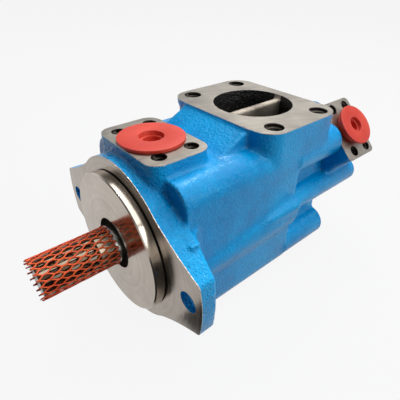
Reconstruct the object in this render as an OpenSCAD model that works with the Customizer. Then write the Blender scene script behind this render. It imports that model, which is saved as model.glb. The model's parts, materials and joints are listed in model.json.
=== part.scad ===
// Tandem hydraulic vane pump: two vane cartridges of different size on one splined shaft,
// in three castings (front body, inlet body, rear cover).
// Frame: origin at the centre of the mounting face, +Y from the drive end to the rear cover,
// +Z up through the inlet port, +X to the right. Millimetres.

/* [Mounting flange] */
// Diameter of the pilot that centres the pump
pilot_d = 127; // [110:1:132]
// Length of the pilot in front of the mounting face
pilot_len = 9.5; // [6:0.5:13]
// Diameter of the round part of the flange
flange_d = 150; // [146:1:156]
// Distance between the two mounting bolts
flange_bolt_span = 181; // [172:1:186]
// Diameter of the mounting bolt holes
flange_bolt_d = 17.5; // [13:0.5:19]
// Distance from a mounting bolt's axis to the tip of its ear
ear_reach = 16; // [14:0.5:19]
// Height of an ear's flat end
ear_end_h = 51; // [40:1:58]
// Thickness of an ear at its tip
ear_t = 13; // [11:0.5:16]
// Thickness of the flange beside the body
flange_t = 20; // [18:0.5:24]

/* [Castings] */
// Width of the body block
block_w = 133; // [130:1:140]
// Height of the body block
block_h = 144; // [140:1:150]
// Corner radius of the body block
block_r = 18; // [12:1:22]
// Diameter of the round neck between the flange and the body block
neck_d = 120; // [112:2:132]
// Length from the mounting face to the front body's rear face
front_body_len = 70; // [68:1:76]
// Length of the full-width part of the inlet body
inlet_block_len = 80; // [76:1:86]
// Length of the inlet body
inlet_body_len = 144; // [142:1:150]
// Diameter of the round barrel behind the full-width part
barrel_d = 104; // [102:1:108]
// Length of the rear cover
cover_len = 51; // [50:1:56]
// How far the side bulge stands out at the rear of the block
bulge_out = 7.5; // [3:0.5:9]
// Radius of the side bulge
bulge_r = 28; // [20:1:32]
// Radius of the lip along the bulge's upper edge
bulge_lip_r = 8; // [6:0.5:9]
// Length of the lip
bulge_lip_len = 90; // [60:5:100]

/* [Inlet port] */
// Distance from the mounting face to the inlet port's axis
inlet_y = 152.4; // [151:0.5:154]
// Height of the inlet port face above the shaft axis
inlet_z = 88.9; // [86:0.1:94]
// Inlet bore
inlet_d = 76; // [70:1:78]
// Bolt spacing across the pump
inlet_bolt_x = 106.4; // [100:0.1:110]
// Bolt spacing along the pump
inlet_bolt_y = 61.9; // [58:0.1:66]
// Bolt thread diameter
inlet_bolt_d = 15.9; // [14:0.1:17]
// Length of the inlet pad along the pump
inlet_pad_len = 99; // [96:1:104]
// Corner radius of the inlet pad
inlet_pad_r = 20; // [14:1:24]
// Thickness of the web across the inlet bore
web_t = 7.6; // [5:0.2:10]
// Depth of the web's edge below the port face
web_depth = 4.2; // [3:0.2:8]

/* [Outlet port 1] */
// Distance from the mounting face to the port's axis
outlet_1_y = 38.1; // [36:0.1:40]
// Height of the port face above the shaft axis
outlet_1_z = 83.8; // [81:0.1:90]
// Port bore
outlet_1_d = 32; // [26:1:34]
// Bolt spacing across the pump
outlet_1_bolt_x = 58.7; // [54:0.1:62]
// Bolt spacing along the pump
outlet_1_bolt_y = 30.2; // [28:0.1:34]
// Bolt thread diameter
outlet_1_bolt_d = 11.1; // [9:0.1:12]
// Width of the port pad
outlet_1_pad_w = 84; // [78:1:90]
// Length of the port pad along the pump
outlet_1_pad_len = 56; // [52:1:58]

/* [Outlet port 2] */
// Distance from the cover's front face to the port's axis
outlet_2_y = 26.5; // [26:0.5:28]
// Distance of the port face from the shaft axis
outlet_2_n = 83.4; // [80:0.1:88]
// Port bore
outlet_2_d = 19; // [16:1:21]
// Bolt spacing across the port face
outlet_2_bolt_x = 47.6; // [45:0.1:50]
// Bolt spacing along the pump
outlet_2_bolt_y = 22.2; // [21:0.1:24]
// Bolt thread diameter
outlet_2_bolt_d = 9.5; // [8:0.1:10]
// Width of the port pad across the pump
outlet_2_pad_w = 64; // [60:1:68]
// Length of the port pad along the pump
outlet_2_pad_len = 46; // [42:1:48]

/* [Screws] */
// Centre distance of the body screws from the axis, in X and in Z
body_screw_c = 51; // [50:0.5:52]
// Body screw thread diameter
body_screw_d = 16; // [14:1:16]
// Radius of a body screw's boss
body_boss_r = 17; // [16:0.5:18]
// Distance of the cover screws from the axis
cover_screw_c = 52; // [51:0.5:53]
// Cover screw thread diameter
cover_screw_d = 12; // [10:1:12]
// Radius of a cover screw's boss
cover_boss_r = 14; // [13:0.5:15]

/* [Shaft] */
// Teeth on the drive spline
drive_teeth = 14; // [12:1:16]
// Diameter over the drive spline
drive_d = 31.2; // [28:0.1:31.6]
// Length of the drive end in front of the mounting face
drive_len = 75.5; // [65:0.5:90]
// Length of the drive spline
drive_spline_len = 46; // [30:1:56]
// Diameter of the plain neck behind the drive spline
shaft_neck_d = 31.8; // [31:0.1:32.2]
// Diameter under the shaft seals
seal_journal_d = 35; // [33:0.5:36]
// Bore of the ball bearing
bearing_d = 40; // [38:1:42]
// Diameter over the front rotor's spline
front_spline_d = 40; // [38:1:42]
// Shaft diameter through the inlet chamber
mid_shaft_d = 34; // [30:1:36]
// Diameter over the rear rotor's spline
rear_spline_d = 28; // [26:1:30]
// Diameter of the rear journal
rear_journal_d = 24; // [20:1:25]

/* [Front bearing and seals] */
// Outside diameter of the ball bearing
bearing_od = 80; // [78:1:82]
// Width of the ball bearing
bearing_w = 18; // [16:1:19]
// Number of balls
ball_count = 9; // [7:1:9]
// Ball diameter
ball_d = 12; // [10:0.5:12.5]
// Outside diameter of a shaft seal
seal_od = 54; // [52:1:56]
// Thickness of a shaft seal
seal_t = 7.6; // [6:0.2:7.8]
// Opening in the pilot's face
seal_window_d = 47; // [44:1:48]
// Distance from the pilot's face to the shaft seals
seal_lip_t = 7.3; // [5:0.1:8]
// Gap between the inner seal and the ball bearing
bearing_gap = 3.8; // [3:0.2:5]
// Thickness of the retaining rings
clip_t = 1.9; // [1.2:0.1:2]

/* [Front cartridge] */
// Outside diameter of the front cam ring
front_ring_d = 112; // [108:1:113]
// Width of the front cam ring
front_ring_w = 38; // [34:1:40]
// Smallest inside diameter of the front cam ring
front_minor_d = 75.2; // [74:0.2:77]
// Lift of the front cam ring's contour, on the radius
front_lift = 4.4; // [3:0.2:5]
// Diameter of the front rotor
front_rotor_d = 74; // [70:0.5:74.2]
// Number of front vanes
front_vane_count = 12; // [10:1:12]
// Thickness of a front vane
front_vane_t = 2.4; // [1.8:0.1:3]
// Thickness of the front outlet support plate
front_outlet_support_t = 20; // [16:1:21]
// Thickness of the front inlet support plate
front_inlet_support_t = 12; // [10:1:13]
// Thickness of a front flex plate
front_flex_t = 2; // [1:0.5:3]

/* [Rear cartridge] */
// Outside diameter of the rear cam ring
rear_ring_d = 78; // [76:1:79]
// Width of the rear cam ring
rear_ring_w = 26; // [24:1:27]
// Smallest inside diameter of the rear cam ring
rear_minor_d = 52; // [51:0.2:53]
// Lift of the rear cam ring's contour, on the radius
rear_lift = 3; // [2:0.2:3.6]
// Diameter of the rear rotor
rear_rotor_d = 51; // [48:0.5:51]
// Number of rear vanes
rear_vane_count = 12; // [10:1:12]
// Thickness of a rear vane
rear_vane_t = 2; // [1.6:0.1:2.4]
// Thickness of the rear inlet support plate
rear_inlet_support_t = 9; // [8:0.5:10]
// Thickness of the rear outlet support plate
rear_outlet_support_t = 12; // [10:0.5:13]
// Thickness of a rear flex plate
rear_flex_t = 1.5; // [1:0.5:2]
// Depth of the rear cartridge's seat in the inlet body
rear_seat_depth = 22; // [20:1:23]

/* [Shipping caps] */
// Flange diameter of the plug in outlet port 1
plug_1_d = 55; // [48:0.5:58]
// Flange thickness of the plug in outlet port 1
plug_1_t = 2.5; // [2:0.1:4]
// Length of its shank
plug_1_shank_len = 14; // [10:0.5:18]
// Diameter of the hole in its top
plug_1_hole_d = 19; // [12:0.5:22]
// Flange diameter of the plug in outlet port 2
plug_2_d = 42; // [36:0.5:44]
// Flange thickness of the plug in outlet port 2
plug_2_t = 2.6; // [2:0.1:4]
// Diameter of its body under the flange
plug_2_body_d = 34; // [30:0.5:36]
// Height of its flange's underside above the port face
plug_2_lift = 6; // [2:0.5:8]
// Length of its shank
plug_2_shank_len = 13; // [10:0.5:16]
// Diameter of the hole in its top
plug_2_hole_d = 13; // [8:0.5:14]
// Wall of the net sleeve on the drive shaft
sleeve_t = 1.5; // [1:0.1:2]

/* [Hidden] */
$fn = 72;

// Clearances: sliding fit on the radius, running fit of the shaft, and gap between a rotor and its plates
slide_gap = 0.05;
run_gap = 0.04;
side_gap = 0.1;
// Length by which a cut runs past the face it opens
cut = 1;

// Width over the two ears
ear_span = flange_bolt_span + 2 * ear_reach;

// Stations along the shaft axis
pilot_y = -pilot_len;
block_y0 = flange_t - 1;
seam_1_y = front_body_len;
block_y1 = seam_1_y + inlet_block_len;
seam_2_y = seam_1_y + inlet_body_len;
cover_y1 = seam_2_y + cover_len;
barrel_y1 = cover_y1 - 3;
seal_y0 = pilot_y + seal_lip_t;
seal_y1 = seal_y0 + 2 * seal_t + 0.2;
bearing_y = seal_y1 + bearing_gap;
bearing_y1 = bearing_y + bearing_w;
clip_groove_w = clip_t + 0.2;

// Front cartridge: its ring starts at the first seam
front_ring_y1 = seam_1_y + front_ring_w;
front_support_y = seam_1_y - front_flex_t - front_outlet_support_t;
front_bore_y0 = front_support_y - 2;
front_bore_y1 = front_ring_y1 + front_flex_t + front_inlet_support_t + 2;
front_chamber_y0 = bearing_y1 + 2 * clip_groove_w;

// Rear cartridge: its inlet support sits on the lip in the inlet body
rear_lip_y1 = seam_2_y - rear_seat_depth;
rear_lip_y0 = rear_lip_y1 - 4;
rear_ring_y0 = rear_lip_y1 + rear_inlet_support_t + rear_flex_t;
rear_ring_y1 = rear_ring_y0 + rear_ring_w;
rear_support_y1 = rear_ring_y1 + rear_flex_t + rear_outlet_support_t;
rear_bore_y1 = rear_support_y1 + 1;
rear_chamber_y1 = rear_bore_y1 + 4;
bush_y1 = cover_y1 - 8;

// Bores in the castings
front_bore_d = front_ring_d + 2 * slide_gap;
rear_bore_d = rear_ring_d + 2 * slide_gap;
front_chamber_d = front_bore_d - 12;
inlet_chamber_d = barrel_d - 16;
rear_lip_d = rear_bore_d - 8;
rear_chamber_d = rear_bore_d - 12;
bush_d = rear_journal_d + 6;

// Cap screws: head diameter and height as shares of the thread
function head_d(d) = 1.5 * d;
function socket_af(d) = 0.8 * d;
body_head_pocket = body_screw_d + 1;
cover_head_pocket = cover_screw_d + 1;

// Port pads
inlet_pad_y = inlet_y - 0.9;
outlet_1_pad_y = outlet_1_y - 1.1;
outlet_2_pad_y = seam_2_y + outlet_2_y - 2.5;
port_2_y = seam_2_y + outlet_2_y;
inlet_pad_t = 6;
tower_inset = 3;
ramp_w = 83;
ramp_y0 = seam_1_y + 3;
fillet_r = 16;

// ---------------------------------------------------------------- helpers

// Extrudes a profile drawn in (X, Z) from y0 to y1
module along(y0, y1) translate([0, y1, 0]) rotate([90, 0, 0]) linear_extrude(y1 - y0) children();

// Extrudes a profile drawn in (Y, Z) from x0 to x1
module across(x0, x1) translate([x0, 0, 0]) rotate([90, 0, 90]) linear_extrude(x1 - x0) children();

// Revolves a profile drawn in (radius, Y) about the shaft axis
module about_shaft() rotate([-90, 0, 0]) rotate_extrude() children();

// Solid cylinder on the shaft axis
module disc(d, y0, y1) translate([0, y0, 0]) rotate([-90, 0, 0]) cylinder(d = d, h = y1 - y0);

// Plain ring on the shaft axis
module ring(d_out, d_in, y0, y1)
    about_shaft() translate([d_in / 2, y0]) square([(d_out - d_in) / 2, y1 - y0]);

// Round cord ring on the shaft axis, such as an O-ring
module cord_ring(d_mean, cord_d, y) about_shaft() translate([d_mean / 2, y]) circle(d = cord_d);

module rounded_rect(w, h, r) {
    square([w - 2 * r, h], center = true);
    square([w, h - 2 * r], center = true);
    for (x = [-1, 1], y = [-1, 1]) translate([x * (w / 2 - r), y * (h / 2 - r)]) circle(r);
}

// Copies its children at the corners of a rectangle in X and Y
module corners(dx, dy) for (x = [-1, 1], y = [-1, 1]) translate([x * dx / 2, y * dy / 2, 0]) children();

// Blind threaded hole with a chamfered mouth, opening upwards at z = 0
module tapped_hole(d, depth) {
    translate([0, 0, -depth]) cylinder(d = d, h = depth + cut);
    translate([0, 0, -0.4]) cylinder(d1 = d, d2 = d + 1, h = 0.5);
}

// Frame of outlet port 2: z leaves along the port's axis, y runs along the pump
module at_port_2() rotate([0, 45, 0]) translate([0, port_2_y, 0]) children();

// Places its children, drawn along the shaft axis, at the four body screws
module at_body_screws() for (x = [-1, 1], z = [-1, 1])
    translate([x * body_screw_c, 0, z * body_screw_c]) children();

// Places its children at the four cover screws
module at_cover_screws() for (a = [0:90:270]) rotate([0, a, 0]) translate([cover_screw_c, 0, 0]) children();

// Socket head cap screw: head from head_y towards +Y, tip at tip_y
module cap_screw(d, head_y, tip_y) {
    difference() {
        disc(head_d(d), head_y, head_y + d);
        translate([0, head_y + d / 2, 0]) rotate([-90, 0, 0])
            cylinder(d = socket_af(d) / cos(30), h = d, $fn = 6);
    }
    disc(d - 0.1, tip_y, head_y);
}

// ---------------------------------------------------------------- castings

// One flank of an ear: the area between the round part and the ear's end
module ear_flank() {
    p = [sqrt(pow(ear_span / 2, 2) - pow(ear_end_h / 2, 2)), ear_end_h / 2];
    a = atan2(p.y, p.x) + acos(flange_d / 2 / norm(p));
    t = flange_d / 2 * [cos(a), sin(a)];
    hollow = 3;
    flank_r = 240;
    difference() {
        polygon([[0, 0], [ear_span / 2, 0], [ear_span / 2, p.y], p, t]);
        translate((p + t) / 2 + (flank_r - hollow) * [cos(a), sin(a)]) circle(flank_r, $fn = 360);
    }
}

module flange_outline() {
    circle(d = flange_d);
    intersection() {
        circle(d = ear_span);
        for (m = [0, 1], n = [0, 1]) mirror([m, 0]) mirror([0, n]) ear_flank();
    }
}

// Plan view of the flange: thickest beside the block, thinner at the top and at the ear tips
module flange_plan() {
    back = [[ear_span / 2 + cut, ear_t], [block_w / 2 + 11, flange_t],
            [block_w / 2, flange_t + 1], [38, ear_t]];
    polygon(concat([[-ear_span / 2 - cut, 0], [ear_span / 2 + cut, 0]], back,
        [for (i = [3:-1:0]) [-back[i].x, back[i].y]]));
}

// Concave blend from the back of an ear into the side of the block
module ear_gusset() {
    y1 = flange_t + fillet_r - 0.5;
    h = 2 * ear_end_h - 24;
    translate([0, 0, -h / 2]) linear_extrude(h) difference() {
        translate([block_w / 2 - 8, ear_t - 2]) square([fillet_r + 7, y1 - ear_t + 2]);
        translate([block_w / 2 + fillet_r - 0.5, y1]) circle(fillet_r);
    }
}

// Long bulge on the side of the block, which rises towards the rear
module side_bulge() {
    low_z = -20;
    lip_z = 8.5;
    function centre(out, y) =
        [block_w / 2 + out - bulge_r, y, low_z + sqrt(bulge_r * bulge_r - pow(bulge_r - out, 2))];
    rod(bulge_r, centre(1, block_y0 + 6), centre(bulge_out, block_y1));
    // the upper edge of its rear end stands out more
    rod(bulge_lip_r, [block_w / 2 - bulge_lip_r - 1, block_y1 - bulge_lip_len, lip_z - 12.5],
        [block_w / 2 + bulge_out - bulge_lip_r + 2, block_y1, lip_z]);
}

// Round bar from a towards b, and a little past it
module rod(r, a, b) {
    v = b - a;
    translate(a) rotate([0, acos(v.z / norm(v)), atan2(v.y, v.x)]) cylinder(r = r, h = norm(v) + 8);
}

module side_bulges(y0, y1) intersection() {
    for (m = [0, 1]) mirror([m, 0, 0]) side_bulge();
    translate([-block_w, y0, -block_h / 2]) cube([2 * block_w, y1 - y0, block_h]);
}

module block(y0, y1) along(y0, y1) rounded_rect(block_w, block_h, block_r);

module front_body() color("dodgerblue") difference() {
    chamfer = 0.8;
    union() {
        about_shaft() polygon([[0, pilot_y], [pilot_d / 2 - chamfer, pilot_y],
            [pilot_d / 2, pilot_y + chamfer], [pilot_d / 2, cut], [0, cut]]);
        intersection() {
            along(0, flange_t) flange_outline();
            translate([0, 0, -flange_d / 2 - cut]) linear_extrude(flange_d + 2 * cut) flange_plan();
        }
        disc(neck_d, ear_t - cut, block_y0 + cut);
        for (m = [0, 1]) mirror([m, 0, 0]) ear_gusset();
        block(block_y0, seam_1_y);
        side_bulges(block_y0, seam_1_y);
        translate([0, outlet_1_pad_y, 0]) linear_extrude(outlet_1_z)
            rounded_rect(outlet_1_pad_w, outlet_1_pad_len, 12);
    }
    // seal and bearing bores
    disc(seal_window_d, pilot_y - cut, seal_y0 + cut);
    disc(seal_od + 2 * slide_gap, seal_y0, seal_y1);
    disc(seal_od - 6, seal_y1 - cut, bearing_y + cut);
    disc(bearing_od + 2 * slide_gap, bearing_y, front_chamber_y0 + cut);
    disc(bearing_od + 4, bearing_y1, bearing_y1 + clip_groove_w);
    // pressure chamber, cartridge bore and the groove of the body seal
    disc(front_chamber_d, front_chamber_y0, front_bore_y0 + cut);
    disc(front_bore_d, front_bore_y0, seam_1_y + cut);
    body_seal_groove();
    // outlet port
    translate([0, outlet_1_y, inlet_chamber_d / 2]) cylinder(d = outlet_1_d, h = outlet_1_z);
    translate([0, outlet_1_y, outlet_1_z]) corners(outlet_1_bolt_x, outlet_1_bolt_y)
        tapped_hole(outlet_1_bolt_d, 2.2 * outlet_1_bolt_d);
    // mounting bolts and body screws
    for (x = [-1, 1]) translate([x * flange_bolt_span / 2, 0, 0]) disc(flange_bolt_d, -cut, flange_t + cut);
    at_body_screws() disc(body_screw_d, seam_1_y - 1.6 * body_screw_d, seam_1_y + cut);
}

body_seal_cord = 2.6;
body_seal_d = front_bore_d + 4.4 + body_seal_cord;
module body_seal_groove()
    ring(body_seal_d + body_seal_cord + 0.4, body_seal_d - body_seal_cord - 0.4,
         seam_1_y - body_seal_cord, seam_1_y + cut);

module body_seal_ring() color("black")
    cord_ring(body_seal_d, body_seal_cord - 0.1, seam_1_y - body_seal_cord / 2);

module inlet_body() color("dodgerblue") difference() {
    union() {
        block(seam_1_y, block_y1);
        side_bulges(seam_1_y, block_y1);
        along(block_y1 - cut, seam_2_y) square(2 * body_screw_c, center = true);
        at_body_screws() disc(2 * body_boss_r, block_y1 - cut, seam_2_y);
        at_cover_screws() disc(2 * cover_boss_r, block_y1 - cut, seam_2_y);
        // tower under the inlet pad, with the ramp in front of it
        translate([0, inlet_pad_y, inlet_z - inlet_pad_t]) linear_extrude(inlet_pad_t)
            rounded_rect(block_w, inlet_pad_len, inlet_pad_r);
        translate([tower_inset / 2, inlet_pad_y, body_screw_c]) linear_extrude(inlet_z - body_screw_c - 1)
            rounded_rect(block_w - tower_inset, inlet_pad_len, inlet_pad_r);
        across(1 - ramp_w / 2, 1 + ramp_w / 2) polygon([[ramp_y0, block_h / 2 - 10], [ramp_y0, block_h / 2],
            [inlet_pad_y - inlet_pad_len / 2, inlet_z - 2],
            [inlet_pad_y - inlet_pad_len / 2 + 10, inlet_z - 2],
            [inlet_pad_y - inlet_pad_len / 2 + 10, block_h / 2 - 10]]);
    }
    disc(front_bore_d, seam_1_y - cut, front_bore_y1);
    // inlet chamber, divided above the shaft by the web
    difference() {
        union() {
            disc(inlet_chamber_d, front_bore_y1 - cut, rear_lip_y0);
            translate([0, inlet_y, inlet_chamber_d / 2 - 12]) cylinder(d = inlet_d, h = inlet_z);
        }
        translate([-web_t / 2, inlet_y - inlet_d, mid_shaft_d / 2 + 6])
            cube([web_t, 2 * inlet_d, inlet_z - web_depth - mid_shaft_d / 2 - 6]);
    }
    disc(rear_lip_d, rear_lip_y0 - cut, rear_lip_y1 + cut);
    disc(rear_bore_d, rear_lip_y1, seam_2_y + cut);
    cover_seal_groove();
    translate([0, inlet_y, inlet_z]) corners(inlet_bolt_x, inlet_bolt_y) tapped_hole(inlet_bolt_d, 26);
    at_body_screws() {
        disc(body_screw_d + 1.5, seam_1_y - cut, seam_2_y);
        disc(head_d(body_screw_d) + 1, seam_2_y - body_head_pocket, seam_2_y + cut);
    }
    at_cover_screws() disc(cover_screw_d, seam_2_y - 1.7 * cover_screw_d, seam_2_y + cut);
}

cover_seal_cord = 2;
cover_seal_d = rear_bore_d + 3 + cover_seal_cord;
module cover_seal_groove()
    ring(cover_seal_d + cover_seal_cord + 0.4, cover_seal_d - cover_seal_cord - 0.4,
         seam_2_y - cover_seal_cord, seam_2_y + cut);

module cover_seal_ring() color("black")
    cord_ring(cover_seal_d, cover_seal_cord - 0.1, seam_2_y - cover_seal_cord / 2);

module rear_cover() color("dodgerblue") difference() {
    union() {
        disc(barrel_d, seam_2_y, barrel_y1);
        at_cover_screws() disc(2 * cover_boss_r, seam_2_y, cover_y1);
        rotate([0, 45, 0]) translate([0, outlet_2_pad_y, 0]) linear_extrude(outlet_2_n)
            rounded_rect(outlet_2_pad_w, outlet_2_pad_len, 5);
    }
    disc(rear_bore_d, seam_2_y - cut, rear_bore_y1);
    disc(rear_chamber_d, rear_bore_y1 - cut, rear_chamber_y1);
    disc(bush_d, rear_chamber_y1 - cut, bush_y1);
    at_port_2() {
        translate([0, 0, rear_chamber_d / 2 - 4]) cylinder(d = outlet_2_d, h = outlet_2_n);
        translate([0, 0, outlet_2_n]) corners(outlet_2_bolt_x, outlet_2_bolt_y)
            tapped_hole(outlet_2_bolt_d, 2 * outlet_2_bolt_d);
    }
    at_cover_screws() {
        disc(cover_screw_d + 1, seam_2_y - cut, cover_y1);
        disc(head_d(cover_screw_d) + 1, cover_y1 - cover_head_pocket, cover_y1 + cut);
    }
}

module body_screws() color("dimgray") at_body_screws()
    cap_screw(body_screw_d, seam_2_y - body_head_pocket, seam_1_y - 1.5 * body_screw_d);

module cover_screws() color("dimgray") at_cover_screws()
    cap_screw(cover_screw_d, cover_y1 - cover_head_pocket, seam_2_y - 1.6 * cover_screw_d);

// ---------------------------------------------------------------- shaft

// Straight-sided spline teeth, drawn in (X, Z)
module spline(teeth, d_tip, d_root, tip_share = 0.28, root_share = 0.52) polygon([
    for (i = [0:teeth - 1],
        k = [[-root_share, d_root], [-tip_share, d_tip], [tip_share, d_tip], [root_share, d_root]])
        k[1] / 2 * [cos(360 / teeth * (i + k[0] / 2)), sin(360 / teeth * (i + k[0] / 2))]]);

front_spline_root = front_spline_d - 3.6;
rear_spline_root = rear_spline_d - 3;
drive_root_d = drive_d - 4.2;
spline_teeth = 20;
clip_seat_y = bearing_y - clip_groove_w;

module drive_shaft() color("silver") {
    end_y = -drive_len;
    spline_y1 = end_y + drive_spline_len;
    shoulder_d = bearing_d + 8;
    intersection() {
        along(end_y, spline_y1) spline(drive_teeth, drive_d, drive_root_d);
        about_shaft() polygon([[0, end_y], [drive_d / 2 - 2, end_y], [drive_d / 2 + 0.2, end_y + 2.2],
            [drive_d / 2 + 0.2, spline_y1], [0, spline_y1]]);
    }
    difference() {
        about_shaft() polygon([
            [0, spline_y1 - cut], [drive_root_d / 2 - 1, spline_y1 - cut], [shaft_neck_d / 2, spline_y1 + 2],
            [shaft_neck_d / 2, pilot_y - 5], [seal_journal_d / 2, pilot_y - 3],
            [seal_journal_d / 2, seal_y1 + 0.3], [bearing_d / 2, seal_y1 + 0.3],
            [bearing_d / 2, bearing_y1], [shoulder_d / 2, bearing_y1], [shoulder_d / 2, bearing_y1 + 5],
            [front_spline_root / 2, bearing_y1 + 8], [front_spline_root / 2, front_ring_y1 + 6],
            [mid_shaft_d / 2, front_ring_y1 + 8], [mid_shaft_d / 2, rear_lip_y0 - 6],
            [rear_spline_root / 2, rear_lip_y0 - 2], [rear_spline_root / 2, rear_ring_y1 + 2],
            [rear_journal_d / 2, rear_ring_y1 + 4], [rear_journal_d / 2, bush_y1 - 2],
            [rear_journal_d / 2 - 1, bush_y1 - 1], [0, bush_y1 - 1]]);
        ring(bearing_d + cut, bearing_d - 2.4, clip_seat_y, clip_seat_y + clip_groove_w);
    }
    along(seam_1_y - 4, front_ring_y1 + 4) spline(spline_teeth, front_spline_d, front_spline_root - 0.4);
    along(rear_ring_y0 - 4, rear_ring_y1) spline(spline_teeth, rear_spline_d, rear_spline_root - 0.4);
}

// ---------------------------------------------------------------- front bearing and seals

// Rotary lip seal: case, lip and the groove of its garter spring
module lip_seal(y0) about_shaft() translate([0, y0]) difference() {
    r = seal_od / 2;
    lip = seal_journal_d / 2 + run_gap;
    polygon([[r, 0], [r, seal_t], [r - 1.6, seal_t], [r - 1.6, 1.8], [lip + 2.6, 1.8],
        [lip + 3.2, seal_t - 1], [lip + 1.2, seal_t - 1], [lip, seal_t - 3], [lip + 1, 0.5], [lip + 1.6, 0]]);
    translate([lip + 3.2, seal_t - 2.6]) circle(d = 1.5);
}

module shaft_seal_outer() color("black") lip_seal(seal_y0);
module shaft_seal_inner() color("black") lip_seal(seal_y0 + seal_t + 0.1);
module seal_springs() color("silver") for (i = [0, 1])
    cord_ring(seal_journal_d + 6.4 + 2 * run_gap, 1.3, seal_y0 + i * (seal_t + 0.1) + seal_t - 2.6);

ball_pitch_d = (bearing_d + bearing_od) / 2;
bearing_mid_y = bearing_y + bearing_w / 2;
module ball_groove() cord_ring(ball_pitch_d, ball_d + 0.2, bearing_mid_y);
module at_balls() for (i = [0:ball_count - 1]) rotate([0, i * 360 / ball_count, 0])
    translate([ball_pitch_d / 2, bearing_mid_y, 0]) children();

module bearing_outer_ring() color("silver") difference() {
    ring(bearing_od, ball_pitch_d + 0.7 * ball_d, bearing_y, bearing_y1);
    ball_groove();
}
module bearing_inner_ring() color("silver") difference() {
    ring(ball_pitch_d - 0.7 * ball_d, bearing_d + 2 * slide_gap, bearing_y, bearing_y1);
    ball_groove();
}
module bearing_balls() color("silver") at_balls() sphere(d = ball_d);
module bearing_cage() color("goldenrod") difference() {
    ring(ball_pitch_d + 3, ball_pitch_d - 3, bearing_mid_y - 0.62 * ball_d, bearing_mid_y + 0.62 * ball_d);
    at_balls() translate([-ball_d, 0, 0]) rotate([0, 90, 0]) cylinder(d = ball_d + 0.3, h = 2 * ball_d);
}

// Open retaining ring with two lugs at lug_r; its gap faces down
module clip(d_out, d_in, lug_r, y0) {
    gap_a = 14;
    lug_d = 4.5;
    along(y0, y0 + clip_t) difference() {
        union() {
            difference() {
                circle(d = d_out);
                circle(d = d_in);
                polygon([[0, 0], d_out * [cos(-90 - gap_a), sin(-90 - gap_a)],
                    d_out * [cos(-90 + gap_a), sin(-90 + gap_a)]]);
            }
            for (s = [-1, 1]) rotate(-90 + s * (gap_a + 3)) translate([lug_r, 0]) circle(d = lug_d);
        }
        for (s = [-1, 1]) rotate(-90 + s * (gap_a + 3)) translate([lug_r, 0]) circle(d = 1.8);
    }
}
module bearing_retaining_ring() color("gray")
    clip(bearing_od + 3.6, bearing_od - 4, bearing_od / 2 - 0.8, bearing_y1 + 0.1);
module shaft_retaining_ring() color("gray")
    clip(bearing_d + 4, bearing_d - 2.2, bearing_d / 2 + 1.3, clip_seat_y + 0.1);

module rear_bush() color("goldenrod")
    ring(bush_d - 2 * slide_gap, rear_journal_d + 2 * run_gap, rear_chamber_y1, bush_y1 - 0.2);

// ---------------------------------------------------------------- cartridges

// Port window between two radii and two angles, drawn in (X, Z)
module kidney(r0, r1, a0, a1) intersection() {
    difference() {
        circle(r1);
        circle(r0);
    }
    polygon([[0, 0], for (i = [0:4]) 2 * r1 * [cos(a0 + i * (a1 - a0) / 4), sin(a0 + i * (a1 - a0) / 4)]]);
}

// Suction windows lie on the rising parts of the cam, pressure windows on the falling parts
window_sweep = 50;
module windows(r0, r1, first_a) for (a = [first_a, first_a + 180]) kidney(r0, r1, a, a + window_sweep);
suction_a = 22;
pressure_a = 108;
pin_a = -20;

// Holes for the two screws and the two locating pins, drawn in (X, Z)
module pitch_holes(hole_r, screw_d, pin_d) for (a = [0, 180]) {
    rotate(a) translate([hole_r, 0]) circle(d = screw_d);
    rotate(a + pin_a) translate([hole_r, 0]) circle(d = pin_d);
}

// Inside contour of a cam ring: two lifts per turn, with short dwells
cam_points = 96;
module cam_contour(minor_d, lift) polygon([
    for (i = [0:cam_points - 1])
        let (a = i * 360 / cam_points, s = (1 - cos(2 * a)) / 2, e = s * s * (3 - 2 * s))
        (minor_d / 2 + lift * e) * [cos(a), sin(a)]]);

module cam_ring(ring_d, minor_d, lift, hole_r, screw_d, pin_d, y0, y1) along(y0, y1) difference() {
    circle(d = ring_d);
    cam_contour(minor_d, lift);
    pitch_holes(hole_r, screw_d, pin_d);
}

// Rotor with radial vane slots and a splined bore
module rotor(rotor_d, spline_d, spline_root, vanes, vane_t, slot_r, y0, y1) along(y0, y1) difference() {
    circle(d = rotor_d);
    spline(spline_teeth, spline_d + 0.2, spline_root + 0.2);
    for (i = [0:vanes - 1]) rotate((i + 0.5) * 360 / vanes) {
        translate([slot_r, -vane_t / 2 - 0.02]) square([rotor_d, vane_t + 0.04]);
        translate([slot_r, 0]) circle(d = 1.6 * vane_t);
    }
}

// Vanes at the bottom of their stroke; each has a notch for its insert
module vanes(rotor_d, minor_d, count, vane_t, slot_r, y0, y1) {
    tip_r = minor_d / 2 - 0.2;
    mid = (y0 + y1) / 2;
    for (i = [0:count - 1]) rotate([0, -(i + 0.5) * 360 / count, 0]) difference() {
        along(y0, y1) polygon([[slot_r + 0.4, -vane_t / 2], [tip_r - vane_t / 2, -vane_t / 2],
            [tip_r, vane_t / 4], [tip_r - vane_t / 8, vane_t / 2], [slot_r + 0.4, vane_t / 2]]);
        translate([0, mid - (y1 - y0) / 6, -vane_t])
            cube([slot_r + 0.45 * (tip_r - slot_r), (y1 - y0) / 3, 2 * vane_t]);
    }
}
module vane_inserts(minor_d, count, vane_t, slot_r, y0, y1) {
    mid = (y0 + y1) / 2;
    len = (y1 - y0) / 3 - 0.1;
    for (i = [0:count - 1]) rotate([0, -(i + 0.5) * 360 / count, 0])
        translate([slot_r + 0.5, mid - len / 2, -vane_t / 2])
            cube([0.45 * (minor_d / 2 - 0.2 - slot_r) - 0.7, len, vane_t]);
}

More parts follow.
